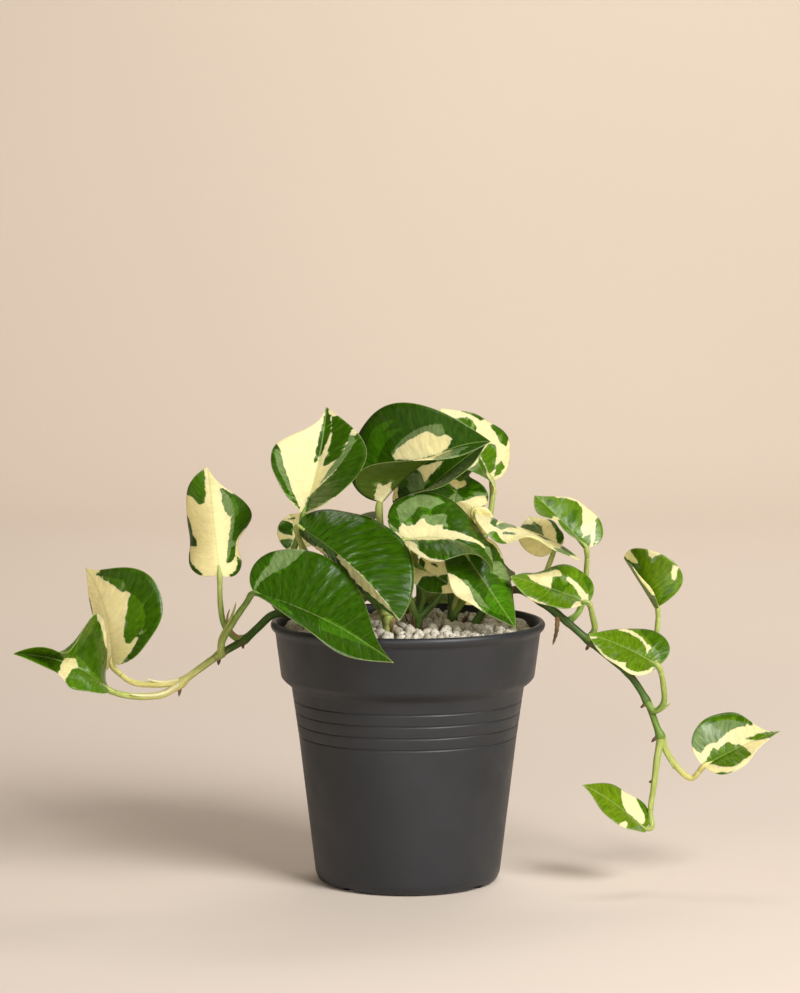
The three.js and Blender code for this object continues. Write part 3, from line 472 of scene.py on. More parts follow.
@dataclass(frozen=True)
class JuicyStalk(Finish):
    """Living stem, petiole or root: smooth green skin with pale lengthwise streaks and a dull wax.

    Reads the channels dye (colour) and grain (along, round, radius).
    """

    name: str = "living_stalk"
    roughness: float = 0.42
    glow: float = 0.12
    streak_mm: float = 1.1  # width of a lengthwise streak
    streak_length_mm: float = 9.0

    def shader(self, node: Adder) -> bpy.types.Node:
        """Draws the streaks and flecks over the stalk's own colour.

        Args:
            node: adds a node to the material.

        Returns:
            The shader that the surface takes.
        """
        dye = node("Attribute", attribute_name="dye").outputs["Color"]
        grain = node("SeparateXYZ", node("Attribute", attribute_name="grain").outputs["Vector"]).outputs
        along = node("Math", grain[0], self.streak_length_mm, operation="DIVIDE")
        turn = [node("Math", grain[1], operation=wave) for wave in ("COSINE", "SINE")]
        wrap = [node("Math", share, 2.0 / self.streak_mm, operation="MULTIPLY") for share in turn]
        place = node("CombineXYZ", *wrap, along)
        streak = node("TexNoise", place, 1.0, 3.0, 0.6)
        fleck = node("TexNoise", place, 7.0, 2.0)
        pale = node("HueSaturation", 0.485, 0.9, 1.55, Color=dye)
        colour = node("Mix", node("MapRange", streak, 0.48, 0.66, 0.0, 0.65), dye, pale, data_type="RGBA")
        colour = node("HueSaturation", Value=node("MapRange", fleck, 0.3, 0.7, 0.86, 1.12), Color=colour)
        bump = node("Bump", Strength=0.3, Distance=0.2 * MM, Height=streak)
        rough = node("MapRange", fleck, 0.2, 0.8, self.roughness - 0.06, self.roughness + 0.1)
        skin = node("BsdfPrincipled", Base_Color=colour, Roughness=rough, Normal=bump, IOR=1.42)
        return node("MixShader", self.glow, skin, node("BsdfTranslucent", colour))


@dataclass(frozen=True)
class MouldedPolypropylene(Finish):
    """Thermoformed black polypropylene: charcoal, with the broad satin sheen of a fine eggshell texture."""

    name: str = "thermoformed_polypropylene"
    body: str = "#1E2125"
    worn: str = "#26282C"
    roughness: float = 0.46
    cloud_mm: float = 45.0  # patches that handling has worn paler
    scuff_mm: float = 14.0
    grain_mm: float = 0.5  # the mould's texture, drawn about twice as coarse as real so that it shows

    def shader(self, node: Adder) -> bpy.types.Node:
        """Draws the worn patches, scuffs and mould texture.

        Args:
            node: adds a node to the material.

        Returns:
            The shader that the surface takes.
        """
        place = node("TexCoord").outputs["Object"]
        cloud, grain, scuff = [
            node("TexNoise", place, 1 / (size * MM), detail)
            for size, detail in ((self.cloud_mm, 3.0), (self.grain_mm, 1.0), (self.scuff_mm, 4.0))
        ]
        worn = node("MapRange", cloud, 0.35, 0.65, 0.0, 1.0)
        colour = node("Mix", worn, self.body, self.worn, data_type="RGBA")
        rough = node("MapRange", scuff, 0.3, 0.7, self.roughness - 0.04, self.roughness + 0.07)
        bump = node("Bump", Strength=0.12, Distance=0.05 * MM, Height=grain)
        return node("BsdfPrincipled", Base_Color=colour, Roughness=rough, Normal=bump, IOR=1.49)


@dataclass(frozen=True)
class BarkAndPeat(Finish):
    """Moist bark and peat potting mix: near-black brown crumbs with dull faces and a few tan fibres."""

    name: str = "bark_and_peat_mix"
    # the mix's own near-black, which between the pumice pebbles is also painted shade of the gaps
    dark: str = "#1C120B"
    tan: str = "#4B3522"
    crumb_mm: float = 2.5
    fibre_mm: float = 6.0

    def shader(self, node: Adder) -> bpy.types.Node:
        """Draws the crumbs and fibres.

        Args:
            node: adds a node to the material.

        Returns:
            The shader that the surface takes.
        """
        place = node("TexCoord").outputs["Object"]
        crumb = node("TexVoronoi", place, 1 / (self.crumb_mm * MM))
        tint = node("TexNoise", place, 1 / (self.fibre_mm * MM), 4.0)
        share = node("MapRange", tint, 0.5, 0.72, 0.0, 1.0)
        colour = node("Mix", share, self.dark, self.tan, data_type="RGBA")
        bump = node("Bump", Strength=0.8, Distance=1.0 * MM, Height=crumb, invert=True)
        rough = node("MapRange", tint, 0.3, 0.7, 0.8, 0.95)
        return node("BsdfPrincipled", Base_Color=colour, Roughness=rough, Normal=bump)


@dataclass(frozen=True)
class PumiceStone(Finish):
    """Washed pumice grit: off-white to grey-beige froth of volcanic glass, with pores of 0.3 to 0.8 mm.

    Reads the channel stone (each pebble's own tint).
    """

    name: str = "washed_pumice"
    white: str = "#E0DACB"
    beige: str = "#B0A591"
    rust: str = "#7F6A50"
    roughness: float = 0.88
    pore_mm: float = 0.8
    stain_mm: float = 3.5

    def shader(self, node: Adder) -> bpy.types.Node:
        """Draws the tint, rusty stains, and the pores, darkened with painted shade.

        Args:
            node: adds a node to the material.

        Returns:
            The shader that the surface takes.
        """
        place = node("TexCoord").outputs["Object"]
        stone = node("Attribute", attribute_name="stone").outputs["Fac"]
        pore = node("TexNoise", place, 1 / (self.pore_mm * MM), 3.0)
        cloud = node("TexNoise", place, 1 / (self.stain_mm * MM), 2.0)
        colour = node("Mix", stone, self.white, self.beige, data_type="RGBA")
        stain = node("MapRange", cloud, 0.6, 0.78, 0.0, 0.4)
        colour = node("Mix", stain, colour, self.rust, data_type="RGBA")
        # painted shade: the colour darkens to under half in the pores, as inside a hollow
        colour = node("HueSaturation", Value=node("MapRange", pore, 0.36, 0.5, 0.45, 1.0), Color=colour)
        bump = node("Bump", Strength=0.7, Distance=0.35 * MM, Height=pore)
        return node("BsdfPrincipled", Base_Color=colour, Roughness=self.roughness, Normal=bump)


@dataclass(frozen=True)
class SeamlessPaper(Finish):
    """Matt seamless paper in a warm pale beige, which takes soft shadows without a sheen."""

    name: str = "beige_seamless_paper"
    # floor and wall are one sheet of the same paper: the wall's darker, warmer tone is painted shade
    wall: str = "#E0D1C1"
    floor: str = "#E0D3C6"
    roughness: float = 0.9
    bend_mm: Place = (400, 2600)  # distances over which the painted shade passes from the floor's tone to the darker wall's
    cloud_mm: float = 833.3

    def shader(self, node: Adder) -> bpy.types.Node:
        """Draws the paper's slow drift of tone, and the painted shade that makes the wall darker and warmer
        than the floor.

        Args:
            node: adds a node to the material.

        Returns:
            The shader that the surface takes.
        """
        place = node("TexCoord").outputs["Object"]
        cloud = node("TexNoise", place, 1 / (self.cloud_mm * MM), 1.0)
        away = node("SeparateXYZ", place).outputs[1]
        share = node("MapRange", away, self.bend_mm[0] * MM, self.bend_mm[1] * MM)
        # painted shade: the paper passes from its floor tone to its darker wall tone, further back
        paper = node("Mix", share, self.floor, self.wall, data_type="RGBA")
        paper = node("HueSaturation", Value=node("MapRange", cloud, 0.3, 0.7, 0.98, 1.02), Color=paper)
        return node("BsdfPrincipled", Base_Color=paper, Roughness=self.roughness)


# Leaves


@dataclass(frozen=True)
class Half:
    """One half of a blade, from midrib to margin; a plain one has only its width given.

    Fields:
        width: widest reach.
        fold: degrees it rises from the leaf's plane at the base, extra half-way, and at the tip.
        curl: degrees it turns between midrib and margin, at the base and at the tip.
        outline: basal lobe, place of the widest point, fullness and taper of the tip, as shares.
        wave: height of the margin's waves, and their phase in turns.
    """

    width: float
    fold: Point = (12, 0, 12)
    curl: Place = (-20, -20)
    outline: tuple[float, float, float, float] = (0.1, 0.36, 0.3, 0.22)
    wave: Place = (0.6, 0)

    WIDEST = 0.45  # share of the margin's steps that lie below its widest point

    def margin(self, length: float, station: Numbers) -> Numbers:
        """Draws the half's margin on the flat blade.

        Args:
            length: the midrib's length.
            station: shares of the way round the margin, from base to tip.

        Returns:
            Rows (reach from the midrib, distance from the base).
        """
        lobe, belly, full, taper = self.outline
        w, drop = self.width, lobe * length
        base, widest, tip = np.zeros(2), np.array([w, belly * length]), np.array([0, length])
        round_lobe = np.array([0.3 * w, -1.45 * drop]), np.array([w, -0.75 * drop - 0.02 * length])
        round_tip = np.array([w, (belly + 0.3) * length]), np.array([full * w, (1 - taper) * length])
        lower = cubic(base, *round_lobe, widest, np.clip(station / self.WIDEST, 0, 1))
        upper = cubic(widest, *round_tip, tip, np.clip((station - self.WIDEST) / (1 - self.WIDEST), 0, 1))
        return np.where((station < self.WIDEST)[..., None], lower, upper)


@dataclass(frozen=True)
class Petiole:
    """The leaf's own stalk: its stem, radii at its root and under the blade, the knee's length, its dyes at
    both ends, and its centre line."""

    stem: str
    root: float
    tip: float
    knee: float
    dyes: tuple[Dye, Dye]
    line: tuple[Point, ...]


@dataclass(frozen=True)
class Leaf:
    """A blade with its midrib, side veins, markings and knee.

    Fields:
        face: direction that the upper face looks at half-way.
        bend: how the midrib bends towards the face, at its tip and sideways, as shares of its length, and the
            degrees that the blade turns along it.
        ground: the tone that the markings lie on.
        marks: patches of colour, each a tone and then its outline's corners, one after the other: share from
            midrib to margin (left negative) and share from base to tip.
        relief: depth of the furrows between the side veins.
        youth: 0 for an old, dark leaf to 1 for a young, yellow-green one.
    """

    name: str
    slot: str
    base: Point
    tip: Point
    face: Point
    bend: tuple[float, float, float, float]
    left: Half
    right: Half
    petiole: Petiole
    ground: Tone
    marks: tuple[tuple[Any, ...], ...]
    relief: float = 0.12
    youth: float = 0.0

    ROWS = 88  # steps round a margin
    COLUMNS = 16  # steps from midrib to margin
    COLUMN_EASE = 1.3  # packs the columns towards the midrib
    VEIN_START = 1.6  # packs the starts of the side veins towards the base
    VEIN_BEND = 1.35  # bends the side veins towards the tip
    THICKNESS = 0.45
    THIN_RIM = 0.2  # how much thinner the margin is
    RIM_REACH = 1.2
    RIB = 0.7  # how much the midrib stands out below
    RIB_REACH = 1.1
    GROOVE = 0.4  # how deep it lies above
    PUCKER = 2.4  # sets the run of the quilting along a side vein
    PUCKER_STEP = 2.1  # by which it differs from one side vein to the next
    FADE = (3.0, 6.0)  # from midrib and margin, over which the relief rises
    KNEE_REACH = 5.0
    KNEE_DEPTH = 0.7
    KNEE_SWELL = 0.14
    KNEE_TAPER = 0.55
    KNEE_RINGS = 26
    RIB_STEPS = 120  # points of the midrib
    MARK_STEPS = 6  # steps between two corners of a mark
    MARK_PAST = 5.0  # by which a mark that reaches the margin runs over it
    COLOUR_REACH = 12.0  # distance from a colour break beyond which it no longer matters
    NOISE_STEP = 17.3  # sets the noise of one leaf apart from the next
    CHANNELS = {"blade": 3, "vein": 3, "tones": 3, "under": 1, "youth": 1, "dye": 3, "grain": 3}

    def midrib(self) -> tuple[Numbers, Numbers]:
        """Draws the midrib.

        Returns:
            Its fine line, and the direction that the blade faces along it.
        """
        arch, hook, sway, _ = self.bend
        base, tip = np.array(self.base, float), np.array(self.tip, float)
        chord = tip - base
        length = np.linalg.norm(chord)
        along = chord / length
        up = np.array(self.face, float)
        up = unit(up - along * (up @ along))
        reach = 1.33 * length  # a cubic's inner points stand a third further out than the curve itself
        swing, rise = np.cross(along, up) * sway * reach, arch * reach
        first = base + chord * 0.33 + up * rise + swing
        second = base + chord * 0.7 + up * (rise + hook * length) + swing
        return cubic(base, first, second, tip, np.linspace(0, 1, self.RIB_STEPS)), up

    def frames(self, distance: Numbers) -> tuple[Numbers, Numbers, Numbers, float]:
        """The midrib's places and directions at distances from the base.

        Args:
            distance: distances along the midrib, which may run past its ends.

        Returns:
            Places, upward directions, sideways directions, and the midrib's length.
        """
        line, face = self.midrib()
        along = lengths_along(line)
        length = along[-1]
        inside = np.clip(distance, 0, length)
        slope = unit(np.gradient(line, along, axis=0))
        tangent = unit(np.stack([np.interp(inside, along, axis) for axis in slope.T], -1))
        place = resampled(line, inside) + tangent * (distance - inside)[:, None]
        up = unit(face - tangent * (tangent @ face)[:, None])
        out = np.cross(tangent, up)
        turn = np.radians(self.bend[3] * (inside / length - 0.5))[:, None]
        return place, up * np.cos(turn) + out * np.sin(turn), out * np.cos(turn) - up * np.sin(turn), length

    def flat(self, side: Numbers, station: Numbers, column: Numbers) -> tuple[Numbers, Numbers, Numbers]:
        """Places on the blade laid flat.

        Args:
            side: -1 for the left half, 1 for the right.
            station: shares of the way round the margin.
            column: shares from midrib to margin.

        Returns:
            Reach from the midrib, distance from the base, and reach of the margin.
        """
        length = lengths_along(self.midrib()[0])[-1]
        left, right = self.left.margin(length, station), self.right.margin(length, station)
        margin = np.where((side < 0)[..., None], left, right)
        start = length * station**self.VEIN_START
        y = start + (margin[..., 1] - start) * column**self.VEIN_BEND
        return margin[..., 0] * column, y, margin[..., 0]

    def surface(self, side: int, reach: Numbers, distance: Numbers) -> Numbers:
        """Bends a half blade into its folded, curled and waved shape.

        Args:
            side: -1 for the left half, 1 for the right.
            reach: distances from the midrib on the flat blade.
            distance: distances from the base on the flat blade.

        Returns:
            Points in space.
        """
        half = self.left if side < 0 else self.right
        place, up, out, length = self.frames(distance.ravel())
        share = distance.ravel() / length
        along = ease(share)
        base, middle, tip = half.fold
        fold = np.radians(base + (tip - base) * along + middle * 4 * along * (1 - along))
        bend = np.radians(half.curl[0] + (half.curl[1] - half.curl[0]) * along) / half.width
        bend = np.where(np.abs(bend) < 1e-6, 1e-6, bend)  # a flat half bends a hair, to divide by
        x = reach.ravel()
        angle = fold + bend * x
        sideways = (np.sin(angle) - np.sin(fold)) / bend
        rise = (np.cos(fold) - np.cos(angle)) / bend
        wave = half.wave[0] * (x / half.width) ** 2 * np.sin(TURN * (2 * share + half.wave[1]))
        points = place + side * out * (sideways - wave * np.sin(angle))[:, None]
        return (points + up * (rise + wave * np.cos(angle))[:, None]).reshape(*reach.shape, 3)

    def fields(self, x: Numbers, y: Numbers) -> Numbers:
        """Distances inside (or, negative, outside) of the mid, sage and cream parts of the markings.

        Args:
            x: places on the flat blade, across (left negative).
            y: places on the flat blade, along.

        Returns:
            Three distances for each place.
        """
        spots = np.c_[x.ravel(), y.ravel()]
        result = np.full((len(spots), 3), -self.COLOUR_REACH)
        if self.ground.value:
            result[:, self.ground.value - 1] = self.COLOUR_REACH
        for tone, *outline in self.marks:
            inside, level = self._inside(outline, spots), tone.value
            result[:, level:] = np.minimum(result[:, level:], -inside[:, None])
            if level:
                result[:, level - 1] = np.maximum(result[:, level - 1], inside)
        return np.clip(result, -self.COLOUR_REACH, self.COLOUR_REACH)

    def _inside(self, outline: Sequence[float], spots: Numbers) -> Numbers:
        """Measures how far places on the flat blade lie inside of a mark.

        Args:
            outline: the mark's corners, one after the other.
            spots: rows (across, along).

        Returns:
            Distances from the outline, negative outside of it.
        """
        corners = np.reshape(outline, (-1, 2))
        share = np.linspace(0, 1, self.MARK_STEPS, endpoint=False)[None, :, None]
        ring = (corners[:, None] + (np.roll(corners, -1, 0) - corners)[:, None] * share).reshape(-1, 2)
        side = np.where(ring[:, 0] < 0, -1.0, 1.0)
        x, y, _ = self.flat(side, np.clip(ring[:, 1], 0, 1), np.clip(np.abs(ring[:, 0]), 0, 1))
        x = side * (x + self.MARK_PAST * (np.abs(ring[:, 0]) >= 0.995))
        y = y + self.MARK_PAST * (ring[:, 1] >= 0.97) - self.MARK_PAST * (ring[:, 1] <= 0.02)
        a = np.c_[x, y]
        b = np.roll(a, -1, 0)
        step, offset = b - a, spots[:, None] - a[None]
        on = np.clip((offset * step).sum(-1) / np.maximum((step * step).sum(-1), TINY), 0, 1)
        away = np.linalg.norm(offset - step * on[..., None], axis=-1).min(1)
        crosses = (a[None, :, 1] > spots[:, None, 1]) != (b[None, :, 1] > spots[:, None, 1])
        rise = np.where(np.abs(step[:, 1]) < TINY, TINY, step[:, 1])
        where = a[None, :, 0] + offset[..., 1] * (step[:, 0] / rise)[None]
        return np.where((crosses & (spots[:, None, 0] < where)).sum(1) % 2 == 1, away, -away)

    def build(self, blade: bpy.types.Material, stalk: bpy.types.Material, number: int) -> None:
        """Builds the blade and its knee as one piece and hangs it on the frame.

        Args:
            blade: the blade's material.
            stalk: the knee's material.
            number: the leaf's place in the list, which sets its noise apart.
        """
        station = np.linspace(0, 1, self.ROWS + 1)[1:-1, None]
        column = np.linspace(0, 1, self.COLUMNS + 1) ** self.COLUMN_EASE
        column = np.r_[-column[:0:-1], column][None]
        side, station, column = np.broadcast_arrays(np.where(column < 0, -1.0, 1.0), station, np.abs(column))
        reach, y, margin = self.flat(side, station, column)
        whole = np.where(side[..., None] < 0, self.surface(-1, reach, y), self.surface(1, reach, y))
        x, edge, middle = side * reach, margin - reach, self.COLUMNS
        up = unit(np.cross(np.gradient(whole, axis=0), np.gradient(whole, axis=1)))
        ends, end_up, _, length = self.frames(np.array([0.0, self.frames(np.zeros(1))[3]]))
        if (up[:, middle] * self.frames(y[:, middle])[1]).sum() < 0:
            up = -up
        vein = station * length
        top = whole + up * self._relief(x, y / length, edge, vein)[..., None]
        rib = self.RIB * bell(x / self.RIB_REACH) * np.clip(1 - y / length, 0, 1)
        thickness = self.THICKNESS - self.THIN_RIM * np.exp(-edge / self.RIM_REACH) + rib
        low = top - up * thickness[..., None]
        noise = self.NOISE_STEP * number
        tones = self.fields(x, y)
        tip_tones = tones.reshape(*x.shape, 3)[[0, -1], middle]
        grids = {
            "blade": (np.stack([x, y, np.full(x.shape, noise)], -1), [[0, 0, noise], [0, length, noise]]),
            "vein": (np.stack([np.abs(x), vein, edge], -1), [[0, 0, 0], [0, length, 0]]),
            "tones": (tones, tip_tones),
        }
        sheet = {name: np.vstack([grid.reshape(-1, 3), rows]) for name, (grid, rows) in grids.items()}
        buffer = MeshBuffer(self.CHANNELS)
        buffer.add(
            np.vstack([top.reshape(-1, 3), ends, low.reshape(-1, 3), ends - end_up * self.THICKNESS]),
            self._faces(*x.shape), youth=self.youth, under=np.repeat([0.0, 1.0], x.size + 2),
            **{name: np.tile(values, (2, 1)) for name, values in sheet.items()},
        )
        self._knee(buffer)
        seat(buffer.build(self.name + "_blade", blade, stalk), self.name)

    def _relief(self, x: Numbers, share: Numbers, edge: Numbers, vein: Numbers) -> Numbers:
        """Measures the upper face against the smooth blade: midrib groove and furrows along the side veins.

        Args:
            x: places across the flat blade.
            share: shares of its length.
            edge: distances from the margin.
            vein: distances along the midrib at which the side vein through each place starts.

        Returns:
            Heights.
        """
        groove = -self.GROOVE * bell(x) * np.clip(1.05 - share, 0, 1)
        order = vein / VEIN_SPACING
        furrow = (0.5 + 0.5 * np.cos(TURN * order)) ** 2
        pucker = np.sin(np.abs(x) / self.PUCKER + self.PUCKER_STEP * np.floor(order + 0.5))
        pucker = pucker * np.cos(math.pi * (order % 1 - 0.5))
        fade = ease(np.abs(x) / self.FADE[0]) * ease(edge / self.FADE[1])
        return groove - self.relief * fade * (furrow + 0.5 * pucker)

    @staticmethod
    def _faces(rows: int, columns: int) -> Numbers:
        """Joins the points of both faces, each a grid and then its base and tip, and the rim between them.

        Args:
            rows: rows of a face's grid.
            columns: its columns.

        Returns:
            Triangles, one row of point numbers each.
        """
        base, far = rows * columns, (rows - 1) * columns
        tip, layer = base + 1, base + 2
        i, j = np.meshgrid(np.arange(rows - 1), np.arange(columns - 1), indexing="ij")
        a, k, r = (i * columns + j).ravel(), np.arange(columns - 1), np.arange(rows)
        upper = np.vstack([
            np.c_[a, a + 1, a + columns + 1], np.c_[a, a + columns + 1, a + columns],
            np.c_[k + 1, k, np.full_like(k, base)], np.c_[far + k, far + k + 1, np.full_like(k, tip)],
        ])
        loop = np.r_[base, r * columns + columns - 1, tip, (r * columns)[::-1]]
        after = np.roll(loop, -1)
        rim = [np.c_[after, loop, loop + layer], np.c_[after, loop + layer, after + layer]]
        return np.vstack([upper, upper[:, ::-1] + layer, *rim])

    def petiole_line(self) -> Numbers:
        """The petiole's whole line, from its stem to a little way under the midrib."""
        place, up, _, _ = self.frames(np.array([self.KNEE_REACH]))
        return smooth_line([*self.petiole.line, self.base, tuple(place[0] - up[0] * self.KNEE_DEPTH)])

    def knee_start(self, line: Numbers) -> float:
        """Distance along the petiole's line at which the knee takes over."""
        return lengths_along(line)[-1] - self.petiole.knee - self.KNEE_REACH

    def _knee(self, buffer: MeshBuffer) -> None:
        """Adds the swollen knee under the blade.

        Args:
            buffer: the leaf's mesh.
        """
        line = self.petiole_line()
        at = np.linspace(self.knee_start(line) - 0.3, lengths_along(line)[-1], self.KNEE_RINGS)
        share = np.linspace(0, 1, self.KNEE_RINGS)
        swell = 1 + self.KNEE_SWELL * bell((share - 0.35) / 0.2)
        radii = self.petiole.tip * swell * (1 - self.KNEE_TAPER * ease((share - 0.45) / 0.55))
        points, faces, chart = tube(resampled(line, at), radii, 12)
        colour = dyed(np.zeros(len(points)), (0, self.petiole.dyes[1]))
        buffer.add(points, faces, finish=1, dye=colour, grain=chart)


# Stems


@dataclass(frozen=True)
class Nub:
    """A root nub or aerial root: radii at its root and end, and its centre line."""

    root: float
    end: float
    line: tuple[Point, ...]


@dataclass(frozen=True)
class Sheath:
    """The dry or green wing that a leaf leaves along its petiole: how far up it runs, and its tip's swing."""

    leaf: str
    reach: float
    swing: Point
    dye: Dye


@dataclass(frozen=True)
class Stem:
    """A vine or crown stem with its petioles, leaf scars, root nubs and sheaths.

    Fields:
        root, end: its radii at both ends.
        dyes: colours at shares of its length.
        swelling: how much thicker a joint is.
        stubs: how many dry stalk ends of fallen leaves stand round its foot.
    """

    name: str
    slot: str
    root: float
    end: float
    line: tuple[Point, ...]
    dyes: tuple[tuple[float, Dye], ...]
    nubs: tuple[Nub, ...] = ()
    sheaths: tuple[Sheath, ...] = ()
    swelling: float = 0.14
    stubs: int = 0

    SIDES, STEP = 16, 1.2  # corners of a section, and distance between two rings
    PETIOLE_SIDES, PETIOLE_STEP = 14, 1.4
    NUB_SIDES, NUB_STEP = 10, 0.9
    WING_SIDES, WING_STEP = 10, 1.5
    STUB_SIDES, STUB_RINGS = 7, 9
    JOINT_REACH = 2.6
    SCAR_OFFSET = 3.2  # of a leaf's ring scar above its joint
    SCAR_DEPTH = 0.05  # share of the radius
    SCAR_BROWN = 0.55
    CLASP = 0.22  # how much stouter a petiole is at its root
    CLASP_REACH = 4.0
    STUB_FOOT = 133.0  # height that the dry stalk ends start at

    def build(self, leaves: Sequence[Leaf], stalk: bpy.types.Material) -> None:
        """Builds the stem with all that grows from it and hangs it on the frame.

        Args:
            leaves: every leaf of the plant.
            stalk: the material.
        """
        buffer = MeshBuffer({"dye": 3, "grain": 3})
        own = {leaf.name: leaf for leaf in leaves if leaf.petiole.stem == self.name}
        line = smooth_line(self.line)
        total = lengths_along(line)[-1]
        at = np.arange(0, total + self.STEP / 2, self.STEP)
        places = resampled(line, np.minimum(at, total))
        share, scar = at / at[-1], np.zeros(len(at))
        radii = self.root + (self.end - self.root) * share
        for joint in [*(leaf.petiole.line[0] for leaf in own.values()), *(nub.line[0] for nub in self.nubs)]:
            past = at - at[np.linalg.norm(places - np.array(joint), axis=1).argmin()]
            radii = radii * (1 + self.swelling * bell(past / self.JOINT_REACH))
            radii = radii * (1 - self.SCAR_DEPTH * bell((past - self.SCAR_OFFSET) / 0.7))
            scar = np.maximum(scar, self.SCAR_BROWN * bell((past - self.SCAR_OFFSET) / 0.8))
        colours = dyed(share, *self.dyes)
        colours = colours + (dyed(scar, (0, BARK)) - colours) * scar[:, None]
        self._stalk(buffer, places, radii, colours, self.SIDES)
        for leaf in own.values():
            self._petiole(buffer, leaf)
        for nub in self.nubs:
            self._nub(buffer, nub)
        self._stubs(buffer)
        for sheath in self.sheaths:
            self._sheath(buffer, sheath, own[sheath.leaf])
        seat(buffer.build(self.name + "_skin", stalk), self.name)

    @staticmethod
    def _stalk(buffer: MeshBuffer, line: Numbers, radii: Numbers, colours: Numbers, sides: int) -> None:
        """Adds one round stalk.

        Args:
            buffer: the stem's mesh.
            line: the stalk's centre line.
            radii: the radius at each of its points.
            colours: the colour at each of its points.
            sides: corners of its section.
        """
        points, faces, chart = tube(line, radii, sides)
        dye = np.vstack([np.repeat(colours, sides, 0), colours[[0, -1]]])
        buffer.add(points, faces, dye=dye, grain=chart)

    def _petiole(self, buffer: MeshBuffer, leaf: Leaf) -> None:
        """Adds a petiole up to its knee: stout and clasping at its root, slender above.

        Args:
            buffer: the stem's mesh.
            leaf: the petiole's leaf.
        """
        own, line = leaf.petiole, leaf.petiole_line()
        end = leaf.knee_start(line)
        at = np.linspace(0, end, max(8, round(end / self.PETIOLE_STEP)))
        share = at / end
        radii = (own.root + (own.tip - own.root) * share) * (1 + self.CLASP * bell(at / self.CLASP_REACH))
        radii = radii * (1 + 0.03 * np.sin(at * 0.55))  # slightly uneven, as grown
        colours = dyed(ease(share), *enumerate(own.dyes))
        self._stalk(buffer, resampled(line, at), radii, colours, self.PETIOLE_SIDES)

    def _nub(self, buffer: MeshBuffer, nub: Nub) -> None:
        """Adds a root nub, knobbly and browner towards its end.

        Args:
            buffer: the stem's mesh.
            nub: the root nub.
        """
        line = smooth_line(nub.line)
        total = lengths_along(line)[-1]
        at = np.linspace(0, total, max(7, round(total / self.NUB_STEP)))
        share = at / total
        radii = (nub.root + (nub.end - nub.root) * share) * (1 + 0.12 * np.sin(at * 2.1))
        radii = radii * np.sqrt(np.clip(1.02 - share**6, 0.05, 1))
        colours = dyed(ease(share * 1.4), (0, TAN), (1, BARK))
        self._stalk(buffer, resampled(line, at), radii, colours, self.NUB_SIDES)

    def _stubs(self, buffer: MeshBuffer) -> None:
        """Adds the dry, leaning stalk ends and scales of fallen leaves round the foot of a crown stem.

        Args:
            buffer: the stem's mesh.
        """
        rng = np.random.default_rng(self.stubs * 7 + len(self.name))
        foot = np.array([*self.line[0][:2], self.STUB_FOOT])
        for _ in range(self.stubs):
            turn = rng.uniform(0, TURN)
            lean = np.array([math.cos(turn), math.sin(turn), 0]) * rng.uniform(2.0, 7.0)
            rise = np.array([0, 0, rng.uniform(7.0, 17.0)])
            start = foot + unit(lean) * self.root * rng.uniform(0.8, 2.2)
            line = smooth_line([start, start + lean * 0.3 + rise * 0.6, start + lean + rise])
            at = np.linspace(0, lengths_along(line)[-1], self.STUB_RINGS)
            radii = np.linspace(rng.uniform(0.9, 1.7), 0.35, self.STUB_RINGS)
            colours = dyed(np.linspace(0, 1, self.STUB_RINGS), (0, HUSK), (1, rng.choice([TAN, BARK])))
            self._stalk(buffer, resampled(line, at), radii, colours, self.STUB_SIDES)

    def _sheath(self, buffer: MeshBuffer, sheath: Sheath, leaf: Leaf) -> None:
        """Adds the sheath's wing beside its petiole, parting from it at a pointed tip.

        Args:
            buffer: the stem's mesh.
            sheath: the sheath.
            leaf: the leaf whose petiole it lies along.
        """
        line = leaf.petiole_line()
        end = leaf.knee_start(line) * sheath.reach
        at = np.linspace(2.0, end, max(10, round(end / self.WING_STEP)))
        share = np.linspace(0, 1, len(at))
        swing = np.array(sheath.swing, float)
        places = resampled(line, at) + unit(swing) * leaf.petiole.root * 0.75 + swing * (share**4)[:, None]
        radii = (0.15 + 0.85 * np.sqrt(np.clip(1 - share, 0, 1))) * leaf.petiole.root * 0.62
        self._stalk(buffer, places, radii, dyed(share, (0, sheath.dye)), self.WING_SIDES)


# Pot and pumice


